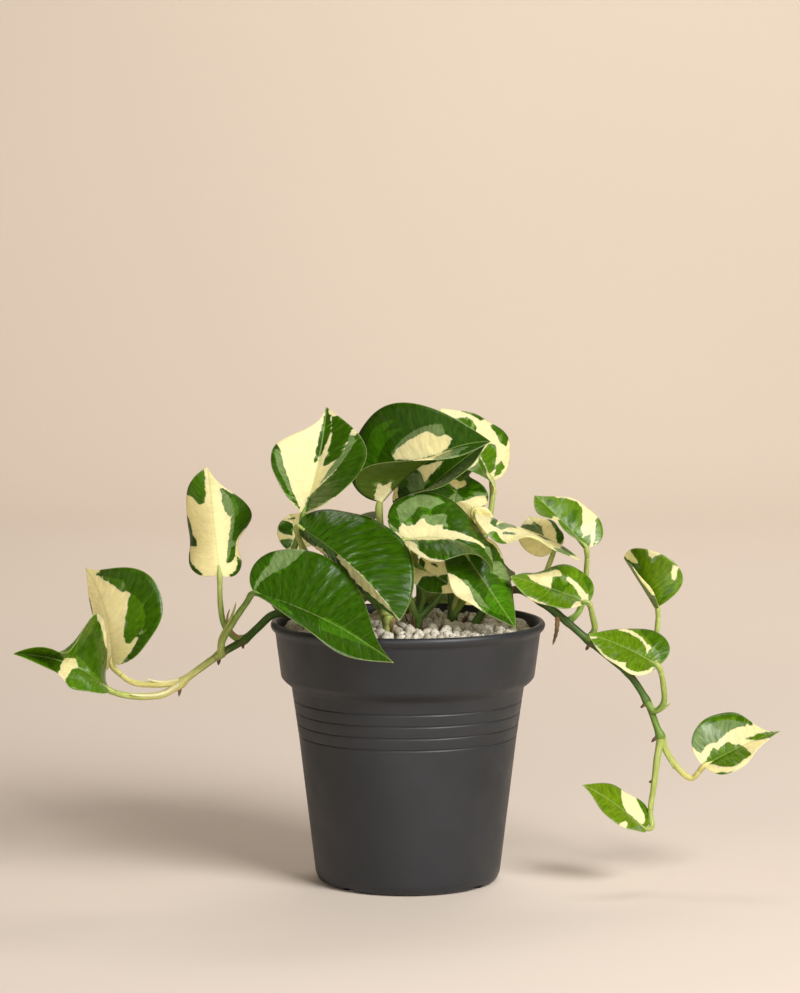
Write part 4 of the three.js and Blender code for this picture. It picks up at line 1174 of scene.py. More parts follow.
@dataclass(frozen=True)
class NurseryPot:
    """The ribbed pot with a deep collar: its profile, foot notches and drain holes.

    Fields:
        body_foot, body_middle, body_top, collar_foot, collar_top: (radius, height) of the wall's bends.
        under: (radius, height) of the underside's bends: middle, groove for the drain holes, foot ring.
        bead: the rim's bends, from its reach and the pot's height.
        step_inside, floor_inside: (radius, height) of the bends inside.
        grooves: heights of the four rings.
        round_cut, round_from: reach of a rounded bend, and the least turn in degrees that is rounded.
        notch_angles: degrees from the front, anticlockwise from above.
        notch_box: a notch's half width, half depth and height.
    """

    height: float = 143.3
    rim: float = 75.2
    wall: float = 1.6
    body_foot: Place = (51.2, 9)
    body_middle: Place = (59.4, 78)
    body_top: Place = (63.7, 107.6)
    shoulder: Place = (67.2, 110.4)  # on the step under the collar
    collar_foot: Place = (69.3, 112.7)
    collar_top: Place = (72.5, 137.3)
    under: tuple[Place, ...] = (
        (0, 0), (34, 0), (35.5, 2.4), (39.5, 2.4), (41, 0), (46.2, 0), (49.2, 1.4), (50.7, 4.8),
    )
    bead: tuple[Place, ...] = ((-0.7, -4.2), (0, -2), (-0.9, -0.4), (-2, 0), (-3, -0.3))
    step_inside: tuple[Place, ...] = ((65.6, 112), (62.1, 109.3), (61.6, 105))
    floor_inside: tuple[Place, ...] = ((46.6, 4.2), (34.8, 4.2), (33.2, 1.8), (0, 1.8))
    grooves: tuple[float, ...] = (81, 87.5, 94, 100.5)
    groove_depth: float = 0.42
    groove_reach: float = 0.75
    round_cut: float = 0.9
    round_from: float = 12
    notch_angles: tuple[float, ...] = (-40, 50, 140, 230)
    notch_box: Point = (4.5, 6, 2.2)
    notch_circle: float = 48
    drain_circle: float = 37.5
    drain_radius: float = 2
    drain_cut: Place = (-3, 9)  # heights that the cutter runs between
    drain_sides: int = 20
    drain_count: int = 8
    segments: int = 224
    sharp_from: float = 38  # degrees

    def profile(self) -> Numbers:
        """Draws the closed section of the wall and floor, outside first.

        Returns:
            Points (radius, height), with each bend eased into a short round.
        """
        radii, heights = zip(self.body_middle, self.body_top)
        rings = [
            (np.interp(z + share * self.groove_reach, heights, radii)
             - self.groove_depth * math.cos(share * math.pi / 2) ** 2, z + share * self.groove_reach)
            for z in self.grooves for share in np.linspace(-1, 1, 7)
        ]
        h, w = self.height, self.wall
        outside = [self.body_foot, *rings, self.body_top, self.shoulder, self.collar_foot, self.collar_top]
        rim = [*((self.rim + out, h + up) for out, up in self.bead), (self.collar_top[0] - w, h - 3)]
        inside = [
            (self.collar_foot[0] - w, self.collar_foot[1] + 1.5), *self.step_inside,
            (self.body_foot[0] - w, self.body_foot[1] + 0.4), *self.floor_inside,
        ]
        return self._rounded(np.array([*self.under, *outside, *rim, *inside], float))

    def _rounded(self, points: Numbers) -> Numbers:
        """Eases each sharp bend into a short curve that stays within the corner.

        Args:
            points: the section's corners.

        Returns:
            The section, with three points in place of each sharp corner.
        """
        result = [points[0]]
        for before, corner, after in zip(points, points[1:], points[2:]):
            a, b = before - corner, after - corner
            turn = math.degrees(math.acos(np.clip(-(unit(a) @ unit(b)), -1, 1)))
            if turn < self.round_from:
                result.append(corner)
                continue
            cut = min(self.round_cut, 0.42 * np.linalg.norm(a), 0.42 * np.linalg.norm(b))
            start, end = corner + unit(a) * cut, corner + unit(b) * cut
            result += [start, 0.25 * (start + end) + 0.5 * corner, end]
        return np.array([*result, points[-1]])

    def build(self, plastic: bpy.types.Material) -> None:
        """Turns the profile, cuts the foot and hangs the pot on the frame.

        Args:
            plastic: the pot's material.
        """
        buffer = MeshBuffer()
        buffer.add(*turned(self.profile(), self.segments))
        pot = buffer.build("nursery_pot", plastic)
        self._cut(pot)
        pot.data.set_sharp_from_angle(angle=math.radians(self.sharp_from))
        seat(pot, "pot")

    def _cut(self, pot: bpy.types.Object) -> None:
        """Cuts the foot notches and drain holes in one Boolean, and applies it.

        Args:
            pot: the uncut pot.
        """
        cutters = MeshBuffer()
        box = np.array([[x, y, z] for x in (-1, 1) for y in (-1, 1) for z in (-1, 1)])
        sides = np.array([
            [0, 1, 3], [0, 3, 2], [4, 7, 5], [4, 6, 7], [0, 5, 1], [0, 4, 5],
            [2, 3, 7], [2, 7, 6], [0, 2, 6], [0, 6, 4], [1, 7, 3], [1, 5, 7],
        ])
        for turn in np.radians(self.notch_angles):
            x, y, z = (box * self.notch_box - [0, self.notch_circle, 0]).T
            across, out = x * np.cos(turn) - y * np.sin(turn), x * np.sin(turn) + y * np.cos(turn)
            cutters.add(np.c_[across, out, z], sides)
        for turn in np.arange(self.drain_count) * TURN / self.drain_count:
            centre = np.array([math.cos(turn), math.sin(turn), 0]) * self.drain_circle
            line = [centre + [0, 0, z] for z in self.drain_cut]
            cutters.add(*tube(np.array(line), np.full(2, self.drain_radius), self.drain_sides)[:2])
        tool = cutters.build("foot_cutters")
        cut = pot.modifiers.new("cut", "BOOLEAN")
        cut.operation = "DIFFERENCE"
        cut.solver = "EXACT"
        cut.object = tool
        mesh = bpy.data.meshes.new_from_object(pot.evaluated_get(bpy.context.evaluated_depsgraph_get()))
        pot.modifiers.clear()
        pot.data = mesh
        bpy.data.objects.remove(tool)


@dataclass(frozen=True)
class PumiceBed:
    """Washed pumice on the potting mix: a layer of pebbles, finer grit between them, and dark mix below, its
    near-black partly painted shade.

    Fields:
        radius: reach of the bed, inside the collar.
        floor: height of the mix between the pebbles, at the wall.
        mound: how much higher it lies in the middle.
        crust: thickness of the mix's surface, which reaches a little under the wall, by overlap.
        pebble, grit: least and greatest size.
        tries: places that are tried for each stone.
        planes, cuts: how many planes cut a stone's ball, and at what shares of its radius.
        slimmest, fullest: least and greatest stretch of the ball along its three axes.
        crumb: roughness of the mix's surface.
    """

    radius: float = 69.0
    floor: float = 134.2
    mound: float = 4.0
    crust: float = 1.2
    overlap: float = 0.6
    pebble: Place = (6.2, 8.8)
    grit: Place = (1.6, 3.2)
    pebbles: int = 350
    grains: int = 330
    spread: Place = (0.8, 0.2)  # share of their size that two pebbles and two grains keep apart
    tries: int = 26
    planes: int = 11
    cuts: Place = (0.62, 1.0)
    slimmest: Point = (0.85, 0.72, 0.62)
    fullest: Point = (1.1, 0.95, 0.85)
    rise: float = 0.34  # share of its size that a stone's middle lies above the mix
    crumb: float = 0.25
    seed: int = 41

    def build(self, stone: bpy.types.Material, mix: bpy.types.Material, stems: Sequence[Stem]) -> None:
        """Builds the pebbles, the grit and the mix's surface and hangs them on the frame.

        Args:
            stone: the pumice's material.
            mix: the potting mix's material.
            stems: the stems, which the pebbles leave room for.
        """
        rng = np.random.default_rng(self.seed)
        taken = [(*stem.line[0][:2], stem.root + 0.3) for stem in stems]
        pebbles = self._scatter(rng, self.pebbles, self.pebble, taken, self.spread[0])
        seat(self._stones(rng, pebbles, 2, "pumice_pebbles", stone), "pumice_topping")
        grit = self._scatter(rng, self.grains, self.grit, taken, self.spread[1])
        seat(self._stones(rng, grit, 1, "pumice_grit", stone), "pumice_topping")
        seat(self._surface(rng, mix), "pumice_topping")

    def level(self, radius: Any) -> Any:
        """Height of the mix at a distance from the middle."""
        return self.floor + self.mound * (1 - np.square(radius / self.radius))

    def _scatter(
        self, rng: np.random.Generator, count: int, sizes: Place, taken: Sequence[Point], spread: float
    ) -> Sequence[Point]:
        """Throws stones into the pot, each a little clear of those before it where there is room.

        Args:
            rng: the seeded source of chance.
            count: how many stones.
            sizes: least and greatest size.
            taken: (x, y, radius) that stay free.
            spread: share of two stones' reach that they keep apart.

        Returns:
            Rows (x, y, size).
        """
        rows: list[Point] = []
        for _ in range(count):
            size = rng.uniform(*sizes)
            best, room = None, -math.inf
            for _ in range(self.tries):
                reach = (self.radius - size / 2) * math.sqrt(rng.uniform())
                turn = rng.uniform(0, TURN)
                x, y = reach * math.cos(turn), reach * math.sin(turn)
                if any(math.hypot(x - a, y - b) < r + size * 0.5 for a, b, r in taken):
                    continue
                gaps = (math.hypot(x - a, y - b) - spread * (s + size) / 2 for a, b, s in rows)
                near = min(gaps, default=1)
                if near > room:
                    best, room = (x, y, size), near
                if room > 0:
                    break
            if best:
                rows.append(best)
        return rows

    def _stones(
        self, rng: np.random.Generator, spots: Sequence[Point], level: int, name: str,
        stone: bpy.types.Material,
    ) -> bpy.types.Object:
        """Makes angular, worn stones: balls cut by random planes, each turned and flattened its own way.

        Args:
            rng: the seeded source of chance.
            spots: rows (x, y, size).
            level: how finely a ball is divided, 1 or 2. Coarse ones lie low and have sharp edges.
            name: the piece's name.
            stone: its material.

        Returns:
            The stones as one object.
        """
        ball = bmesh.new()
        bmesh.ops.create_icosphere(ball, subdivisions=level, radius=1.0)
        sphere = np.array([v.co for v in ball.verts], float)
        faces = np.array([[v.index for v in face.verts] for face in ball.faces])
        ball.free()
        buffer = MeshBuffer({"stone": 1})
        for x, y, size in spots:
            facing = unit(rng.normal(size=(self.planes, 3)))
            depth = rng.uniform(*self.cuts, self.planes)
            reach = np.minimum((depth / np.maximum(sphere @ facing.T, 1e-3)).min(1), 1.0)
            shape = sphere * reach[:, None] * rng.uniform(self.slimmest, self.fullest)
            turn, _ = np.linalg.qr(rng.normal(size=(3, 3)))
            shape = shape @ turn * size / 2
            shape = shape + rng.normal(scale=0.02 * size, size=shape.shape)
            rest = self.level(math.hypot(x, y)) + self.rise * size + rng.uniform(-0.8, 1.4) * (level - 1)
            buffer.add(shape + [x, y, rest], faces, stone=rng.uniform() ** 1.4)
        return buffer.build(name, stone, smooth=level > 1)

    def _surface(self, rng: np.random.Generator, mix: bpy.types.Material) -> bpy.types.Object:
        """Makes the crumbly surface of the mix that shows between the pebbles, its near-black also painted
        shade of the gaps.

        Args:
            rng: the seeded source of chance.
            mix: the potting mix's material.

        Returns:
            The surface as one object.
        """
        rings, sectors = 46, 120
        radius = np.linspace(0, self.radius + self.overlap, rings + 1)
        height = np.append(self.level(radius[:-1]), self.floor)
        low = self.floor - self.crust
        points, faces = turned(np.array([*zip(radius, height), (radius[-1], low), (0, low)]), sectors)
        crumbs = rng.normal(scale=self.crumb, size=(rings, sectors))
        crumbs[-1] = 0
        points[: crumbs.size, 2] += crumbs.ravel()
        buffer = MeshBuffer()
        buffer.add(points, faces[:, ::-1])
        return buffer.build("potting_mix_surface", mix)


# Studio


@dataclass(frozen=True)
class Softbox:
    """A square soft light: where it stands, what it looks at, its side, its power and colour."""

    name: str
    place: Point
    target: Point
    side: float
    watts: float
    colour: str

    def build(self) -> None:
        """Adds the light."""
        light = bpy.data.lights.new(self.name, "AREA")
        light.shape = "SQUARE"
        light.size = self.side * MM
        light.energy = self.watts
        light.color = hex_to_linear(self.colour)[:3]
        holder = bpy.data.objects.new(self.name, light)
        aim = Vector(self.target) - Vector(self.place)
        holder.rotation_euler = aim.to_track_quat("-Z", "Y").to_euler()
        holder.location = Vector(self.place) * MM
        bpy.context.scene.collection.objects.link(holder)


@dataclass(frozen=True)
class Studio:
    """Camera, seamless backdrop and soft lights.

    Fields:
        camera_place, camera_pitch: where the camera stands, and the degrees that it looks down.
        focal, sensor: its focal length, and the sensor's size along the picture's long side.
        paper_front, paper_middle, paper_back, paper_top, paper_side: where the seamless paper lies.
        sweep_radius: the bend between its floor and its wall.
    """

    camera_place: Point = (-4.27, -1800, 386)
    camera_pitch: float = 5.55
    focal: float = 120.36
    sensor: float = 36.0
    paper_front: float = -4000
    paper_middle: float = -1000
    paper_back: float = 2900
    paper_top: float = 3600
    paper_side: float = 4200
    sweep_radius: float = 1000
    ambient: str = "#FFEBD4"
    ambient_strength: float = 0.115
    lights: tuple[Softbox, ...] = (
        Softbox("key_softbox", (1200, -1450, 1350), (0, 0, 120), 1050, 62, "#FFFEFC"),
        Softbox("front_softbox", (-500, -2400, 700), (0, 0, 150), 1200, 19, "#FFFAF4"),
        Softbox("backdrop_light", (400, 1400, 2200), (250, 2700, 300), 1400, 33, "#FFFCF8"),
    )

    def build(self) -> None:
        """Builds the camera, the backdrop, the lights and the world."""
        self._camera()
        self._backdrop()
        for light in self.lights:
            light.build()
        world = bpy.data.worlds.new("studio_air")
        world.use_nodes = True
        background = world.node_tree.nodes["Background"]
        background.inputs["Color"].default_value = hex_to_linear(self.ambient)
        background.inputs["Strength"].default_value = self.ambient_strength
        bpy.context.scene.world = world
        bpy.context.scene.view_settings.view_transform = "Standard"

    def _camera(self) -> None:
        """Sets the camera to the photo's view."""
        lens = bpy.data.cameras.new("camera")
        lens.sensor_fit = "AUTO"
        lens.sensor_width = self.sensor
        lens.lens = self.focal
        lens.clip_end = 50  # metres
        holder = bpy.data.objects.new("camera", lens)
        holder.location = Vector(self.camera_place) * MM
        holder.rotation_euler = (math.radians(90 - self.camera_pitch), 0, 0)
        bpy.context.scene.collection.objects.link(holder)
        bpy.context.scene.camera = holder

    def _backdrop(self) -> None:
        """Sweeps the seamless paper: floor, quarter round and wall."""
        bend, turn = self.sweep_radius, np.linspace(0, math.pi / 2, 33)
        curve = np.c_[self.paper_back - bend + bend * np.sin(turn), bend * (1 - np.cos(turn))]
        front = [[self.paper_front, 0], [self.paper_middle, 0]]
        section = np.vstack([front, curve, [self.paper_back, self.paper_top]])
        points = np.array([[x, y, z] for y, z in section for x in (-self.paper_side, self.paper_side)])
        k = np.arange(len(section) - 1) * 2
        buffer = MeshBuffer()
        buffer.add(points, np.c_[k, k + 1, k + 3, k + 2])
        floor = buffer.build("seamless_backdrop", SeamlessPaper().build())


# This plant


def upright(x: float, y: float) -> tuple[Point, ...]:
    """A crown stem's centre line, from its foot in the potting mix."""
    return tuple((x, y, z) for z in (114, 126, 140, 150))


TAN_FOOT = ((0, TAN), (.5, PALE), (1, PALE))
DARK_FOOT = ((0, BARK), (.6, BARK), (.75, VINE), (1, VINE))

# The shapes are those of the part's source, where they were fitted to outline points read off the photo.
# The markings were drawn.
STEMS = (
    Stem(
        "vine_left", "vine", 2.32, 1.94,
        (
            (-56, 3, 114), (-56, 3, 126), (-56, 3, 132), (-56, 3, 139.5), (-59, 1.5, 144.5), (-66, -2, 147.5),
            (-74, -6, 146.7), (-81.5, -10.5, 140.5), (-88.5, -14, 134.5), (-100.5, -20, 128),
            (-112.5, -24, 120), (-123.5, -28, 112),
        ),
        ((0, VINE), (.7, VINE), (.78, PALE), (1, BUTTER)),
        (
            Nub(1.3, .7, ((-89.5, -14, 133.5), (-89.5, -15, 129.5))),
            Nub(1.4, .8, ((-102, -20.5, 127), (-102.5, -22, 121.5))),
            Nub(1.4, .6, ((-122.5, -28, 112), (-123.5, -29, 105.5))),
        ),
        sheaths=(
            Sheath("leaf_left_upright", .62, (3.5, -1.5, 1), TAN),
            Sheath("leaf_front_left", .8, (-2.2, -1, 2.5), PALE),
            Sheath("leaf_left_end", .7, (0, -2, .8), IVORY),
            Sheath("leaf_left_cream", .55, (0, -1.5, 2.5), IVORY),
        ),
    ),
    Stem(
        "vine_right", "vine", 2.32, 1.85,
        (
            (36, 3, 114), (36, 3, 126), (36, 3, 132), (36, 3, 139), (39, 2.5, 144.5), (45, 1, 152),
            (53, 0, 158.5), (61, -1, 160), (68, -2, 156.5), (76.5, -4, 151), (85.5, -5, 144), (99.5, -6, 132),
            (110, -7, 123.5), (121, -8, 114), (131, -8, 98.5), (136.5, -8, 84), (139, -8, 78),
        ),
        ((0, FRESH), (.2, VINE), (.3, BARK), (.36, VINE), (.8, VINE), (1, FRESH)),
        (
            Nub(1.6, .8, ((82, -5, 148), (81.5, -6, 143), (81, -6, 137.5), (79, -7, 130.5))),
            Nub(1.4, .7, ((99.5, -6, 131.5), (97, -7, 127.5))),
            Nub(1.3, .7, ((130, -8, 98.5), (127, -8, 96))),
            Nub(1.3, .7, ((137, -8, 81), (133, -8, 77))),
            Nub(1.2, .7, ((134.5, -11, 56), (131.5, -11, 55.5))),
        ),
        sheaths=(
            Sheath("leaf_right_middle", .45, (2.5, -1, 0), PALE),
            Sheath("leaf_right_outer", .45, (0, -1.5, -2), PALE),
            Sheath("leaf_right_upright", .5, (2.5, -1, 1), FRESH),
        ),
    ),
    Stem(
        "crown_stem_left", "crown_stem", 3.1, 2.64, upright(-10.5, -30), TAN_FOOT, swelling=.05, stubs=7,
        sheaths=(Sheath("leaf_crown_top", .5, (2, -1.5, 1), PALE),),
    ),
    Stem(
        "crown_stem_front", "crown_stem", 2.92, 2.46, upright(5.5, -20), DARK_FOOT, swelling=.05, stubs=12,
        sheaths=(Sheath("leaf_front_right_upper", .5, (-2, -1.5, 1), PALE),),
    ),
    Stem(
        "crown_stem_right", "crown_stem", 2.92, 2.46, upright(24.5, 8), DARK_FOOT, swelling=.05, stubs=13,
    ),
    Stem(
        "crown_stem_back", "crown_stem", 2.92, 2.46, upright(-2, 38), DARK_FOOT, swelling=.05, stubs=9,
    ),
)

LEAVES = (
    Leaf(
        "leaf_left_upright", "leaf_cream", (-102, -14, 170), (-108.5, -8, 228), (.05, -.99, .11),
        (.02, -.01, 0, -2),
        Half(23, (-14, -18, -8), (-46, -46), (.02, .39, .53, .07), (.8, .21)),
        Half(22, (-16, -4, 20), (-76, -24), (.06, .45, .29, .31), (-2.6, .72)),
        Petiole("vine_left", 1.9, 1.4, 6, (FRESH, PALE), ((-88, -13.5, 134.5), (-94, -15, 136),
            (-99.5, -16, 143), (-101.5, -16, 154))),
        CREAM, (
            (MID, -1, .72, -.8, .74, -.5, .72, -.3, .76, -.24, .83, -.35, .9, -.6, .96, -1, .97), (DEEP, -1,
            .41, -.6, .42, -.6, .45, -.78, .47, -.8, .52, -.9, .57, -1, .58), (DEEP, -1, .17, -.8, .2, -.88,
            .3, -.95, .38, -1, .39), (SAGE, .42, .66, .45, .74, .6, .8, .78, .87, .85, .8, .65, .6, .48, .6),
            (SAGE, .27, .27, .35, .45, .5, .6, .65, .62, .5, .42, .4, .3), (DEEP, .3, .25, .5, .28, .62, .33,
            .7, .42, 1, .44, 1, .72, .88, .84, .8, .83, .8, .7, .6, .6, .5, .5, .42, .36), (MID, .6, .58, .78,
            .74, .88, .72, .72, .58), (DEEP, .8, .13, 1, .12, 1, .3, .7, .33, .8, .27),
        ), relief=.1, youth=.15,
    ),
    Leaf(
        "leaf_left_cream", "leaf_cream", (-160.5, -21, 122), (-176, 0, 172), (-.6, -.79, .14),
        (-.05, -.02, .05, 6),
        Half(24, (2, -6, -12), (-32, -40), (.1, .36, .29, .23), (.7, .46)),
        Half(36, (14, -16, 20), (-30, -16), (.06, .51, .23, .19), (1.3, .11)),
        Petiole("vine_left", 1.9, 1.5, 8.5, (BUTTER, BUTTER), ((-121.5, -27.5, 113.5), (-134, -28, 112),
            (-148.5, -27, 113), (-156.5, -24, 118))),
        CREAM, (
            (DEEP, .68, .35, .75, .2, .88, .12, 1, .11, 1, .86, .85, .88, .62, .9, .7, .8, .62, .62, .65, .5),
            (MID, .3, .38, .42, .31, .55, .3, .7, .38, .66, .5, .62, .6, .5, .58, .35, .5), (MID, .55, .65,
            .6, .85, .72, .84, .74, .68, .62, .62), (DEEP, -1, .64, -.85, .67, -.92, .76, -1, .8), (MID, -1,
            .15, -.75, .22, -.6, .4, -.75, .52, -1, .5),
        ), youth=.25,
    ),
    Leaf(
        "leaf_left_end", "leaf_green", (-159, -51, 112.5), (-207, -75, 135.5), (.55, -.39, .74),
        (.04, -.14, .17, -20),
        Half(21.5, (20, -4, 26), (-50, 12), (.02, .38, .34, .18), (-1.4, .54)),
        Half(31, (-14, 64, 96), (-36, 38), (.02, .26, .57, .13), (2.3, .99)),
        Petiole("vine_left", 2.2, 1.6, 4, (BUTTER, PALE), ((-121.5, -28, 113), (-132, -30, 107),
            (-142.5, -35, 106.5), (-152, -42, 108.5))),
        MID, (
            (DEEP, .1, .08, .6, .15, .95, .3, .88, .5, .2, .56, .08, .4), (CREAM, -1, .53, -.7, .52, -.3, .53,
            0, .5, .14, .55, .1, .62, -.3, .63, -.7, .61, -1, .62), (CREAM, .8, .42, 1, .4, 1, .52, .88, .5),
            (DEEP, -1, .63, -.5, .62, .1, .63, .6, .7, .1, .74, -1, .72),
        ), youth=.35,
    ),
    Leaf(
        "leaf_front_left", "leaf_green", (-81, -62, 166), (-7.5, -96, 134), (.25, -.32, .91),
        (.02, -.03, -.08, 12),
        Half(34.5, (34, 6, 2), (14, -12), (.09, .28, .11, .35), (1.3, .75)),
        Half(26.5, (24, 8, -8), (-22, -10), (.02, .43, .41, .11), (.8, .09)),
        Petiole("vine_left", 2, 1.6, 11, (PALE, FRESH), ((-101, -21, 127), (-100, -28, 135.5),
            (-92.5, -40, 149), (-86, -50, 159))),
        DEEP, (
            (SAGE, -1, .4, -.85, .38, -.68, .34, -.58, .26, -.48, .14, -.4, .05, -.5, .05, -.62, .17, -.78,
            .27, -1, .32), (MID, .1, .1, .5, .2, .9, .34, .8, .44, .4, .34, .1, .2), (MID, -.05, .6, .3, .58,
            .7, .56, .5, .7, .1, .9, -.1, .8),
        ), relief=.42,
    ),
    Leaf(
        "leaf_crown_left", "leaf_cream", (-56, -25, 204.5), (-44.5, 8, 259.5), (.1, -.86, .5),
        (-.04, .02, .03, 0),
        Half(28.5, (50, -4, 22), (-24, -18), (.03, .37, .13, .28), (.9, .21)),
        Half(30.5, (62, -2, 26), (-24, -12), (.04, .42, .4, .15), (.2, .21)),
        Petiole("vine_left", 2, 1.5, 5, (FRESH, FRESH), ((-66, -2, 147.5), (-72, -3, 151.5), (-73.5, -5, 158),
            (-66, -12, 174.5), (-60, -18, 189))),
        CREAM, (
            (DEEP, -1, .2, -1, .56, -.88, .53, -.64, .38, -.58, .26, -.46, .12, -.75, .08), (SAGE, -.97, .5,
            -.78, .34, -.72, .24, -.6, .26, -.66, .38, -.88, .53), (DEEP, -.4, 1, -.3, .88, -.16, .72, -.1,
            .62, .02, .7, .25, .8, .55, .92, .6, 1), (SAGE, .18, .42, .45, .5, .9, .68, .85, .74, .5, .62,
            .32, .54), (DEEP, -.02, .33, .2, .4, .45, .49, .6, .58, .75, .64, 1, .74, 1, .3, .85, .14, .45,
            .05, .05, .08, -.04, .2), (DEEP, .14, .6, .25, .59, .5, .6, .7, .7, 1, .78, 1, .9, .62, .93, .42,
            .85, .25, .72),
        ), youth=.1,
    ),
    Leaf(
        "leaf_left_inner", "leaf_cream", (-58, 7, 183), (-65, 19, 199.5), (-.04, -.82, .58),
        (.08, .01, .01, 2),
        Half(12, (24, 2, 28), (-12, -10), (.1, .37, .35, .19), (.2, .02)),
        Half(14, (28, 2, 24), (-8, -12), (.1, .42, .36, .2), (.6, .96)),
        Petiole("vine_left", 1.6, 1.3, 4.5, (PALE, PALE), ((-57, 2.5, 140.5), (-64, 5, 147), (-67, 6, 156),
            (-66, 6.5, 166), (-61, 7, 176))),
        CREAM, (
            (DEEP, -.95, .52, -.3, .46, -.15, .6, -.1, .76, -.5, .79, -1, .76), (MID, -1, .28, -.7, .26, -.3,
            .38, -.6, .41, -1, .41), (DEEP, -.7, .85, 0, .92, .5, .86, .3, .82, 0, .87, -.6, .83), (DEEP, .3,
            .2, .7, .25, 1, .3, 1, .6, .6, .55, .4, .4),
        ),
    ),
    Leaf(
        "leaf_front_centre", "leaf_green", (-59, -34, 198.5), (-4.5, -65.5, 151.5), (-.17, -.9, .4),
        (.1, -.01, -.04, -14),
        Half(34.5, (-34, 2, 2), (-20, -22), (.08, .42, .5, .06), (.7, .75)),
        Half(27, (-60, 2, -60), (-50, -58), (.03, .34, .3, .23), (.5, .12)),
        Petiole("crown_stem_left", 2, 1.6, 10, (FRESH, PALE), ((-10.5, -30, 142), (-17, -22, 155),
            (-37, -14, 167), (-55, -18, 182.5))),
        DEEP, (
            (MID, .02, .2, .2, .2, .28, .4, .3, .52, .1, .5, .02, .56), (CREAM, 0, .56, .1, .54, .34, .62,
            .52, .7, .62, .8, .5, .93, .2, .99, -.05, .99, -.03, .8), (CREAM, .28, .42, .28, .36, .5, .29, 1,
            .22, 1, .31, .6, .37, .42, .43), (MID, .7, .76, 1, .7, 1, .95, .6, .95),
        ), relief=.62,
    ),
    Leaf(
        "leaf_crown_top", "leaf_green", (-15, -12, 209.5), (44.5, -23, 243), (-.51, -.29, .81),
        (.09, .04, -.03, 18),
        Half(39, (54, 4, 74), (-16, 4), (.1, .31, .38, .27), (.4, .01)),
        Half(34, (58, -4, 12), (-12, -4), (.02, .35, .4, .13), (.4, .06)),
        Petiole("crown_stem_left", 2.9, 1.9, 10, (PALE, PALE), ((-11.5, -30, 149.5), (-12, -27, 163),
            (-14, -22, 181.5), (-15, -18, 197.5))),
        DEEP, (
            (MID, -.84, .44, -.62, .3, -.46, .34, -.56, .46, -.6, .58, -.7, .46, -.78, .56), (SAGE, -.68, .77,
            -.52, .62, -.38, .46, -.3, .46, -.3, .72, -.42, .78), (CREAM, -.32, .43, -.1, .57, -.02, .7, -.02,
            .77, -.12, .79, -.3, .82, -.42, .78, -.36, .74, -.5, .7, -.42, .6, -.38, .5), (SAGE, 0, .76, .3,
            .84, .5, .88, .7, .8, 1, .75, 1, .6, .5, .64, 0, .68), (CREAM, 0, .74, .3, .8, .42, .72, 1, .62,
            1, .54, .3, .64, 0, .68), (CREAM, 0, 0, .9, 0, .55, .12, .42, .2, .42, .3, .28, .28, .15, .36, 0,
            .25),
        ), relief=.14,
    ),
    Leaf(
        "leaf_crown_under_top", "leaf_green", (-1.5, 8, 202), (43, -3, 241), (-.61, -.59, .53),
        (.04, -.01, 0, 6),
        Half(26, (12, 0, 12), (-18, -18), (.1, .36, .32, .22), (.3, .75)),
        Half(25, (50, 4, 14), (4, -8), (.1, .36, .37, .17), (1.3, .77)),
        Petiole("crown_stem_front", 2.2, 1.6, 8.5, (VINE, PALE), ((5.5, -20, 148), (6.5, -12, 161.5),
            (2.5, -3, 185))),
        DEEP, (
            (SAGE, -.9, .36, -.6, .42, -.15, .52, -.1, .42, -.3, .32, -.7, .34), (CREAM, -.7, .43, -.56, .52,
            -.4, .69, -.3, .62, -.18, .47, -.5, .46), (CREAM, -1, .18, -.72, .22, -.8, .29, -1, .31), (MID,
            -1, .31, -.7, .3, -.5, .36, -.85, .37), (SAGE, .3, .2, .6, .25, .8, .4, .5, .4),
        ),
    ),
    Leaf(
        "leaf_crown_right", "leaf_cream", (46.5, 33, 217), (17.5, 26, 257.5), (.51, -.84, .22),
        (.09, 0, .01, -10),
        Half(22, (50, 0, 8), (4, -20), (.1, .37, .32, .22), (1, .9)),
        Half(23.5, (4, -2, -4), (-6, -34), (.08, .33, .33, .2), (1.4, .71)),
        Petiole("crown_stem_right", 2.2, 1.6, 7.5, (VINE, PALE), ((24.5, 8, 144.5), (32, 14, 161),
            (42, 25, 184.5), (46.5, 30, 203.5))),
        CREAM, (
            (MID, .02, .15, .1, .2, .3, .25, .45, .35, .56, .44, .4, .5, .03, .5), (MID, .3, .1, .72, .16, .8,
            .24, .6, .31, .4, .28), (DEEP, .35, .65, .55, .66, .7, .71, .76, .78, .5, .84, .3, .86), (DEEP,
            .71, .44, .85, .38, 1, .42, 1, .53, .88, .55), (DEEP, .86, .64, 1, .6, 1, .84, .92, .8), (DEEP,
            -1, .36, -.6, .38, 0, .3, 0, .5, -.4, .46, -1, .46), (DEEP, -1, .55, -.5, .56, -.3, .68, -.5, .8,
            -1, .8),
        ), youth=.4,
    ),
    Leaf(
        "leaf_front_right_upper", "leaf_green", (-3, -37, 191), (45.5, -42, 174), (.3, -.21, .93),
        (.15, .06, -.08, 2),
        Half(29, (46, 2, 4), (-2, -28), (.12, .37, .35, .19), (1.2, .62)),
        Half(28.5, (16, -14, 34), (-42, -34), (0, .4, .29, .23), (.4, .36)),
        Petiole("crown_stem_front", 2.1, 1.6, 9.5, (VINE, PALE), ((5.5, -20, 145), (1, -27, 158),
            (-3, -37, 175))),
        DEEP, (
            (SAGE, -.95, .4, -.86, .28, -.6, .24, -.5, .26, -.56, .34, -.7, .38, -.62, .42, -.84, .46), (SAGE,
            -.6, .5, -.44, .42, -.3, .4, -.24, .46, -.3, .56, -.4, .52), (CREAM, -.5, .1, .1, .13, .25, .2,
            .26, .4, .22, .5, .1, .6, -.05, .66, -.25, .73, -.75, .82, -.75, .78, -.38, .69, -.26, .6, -.2,
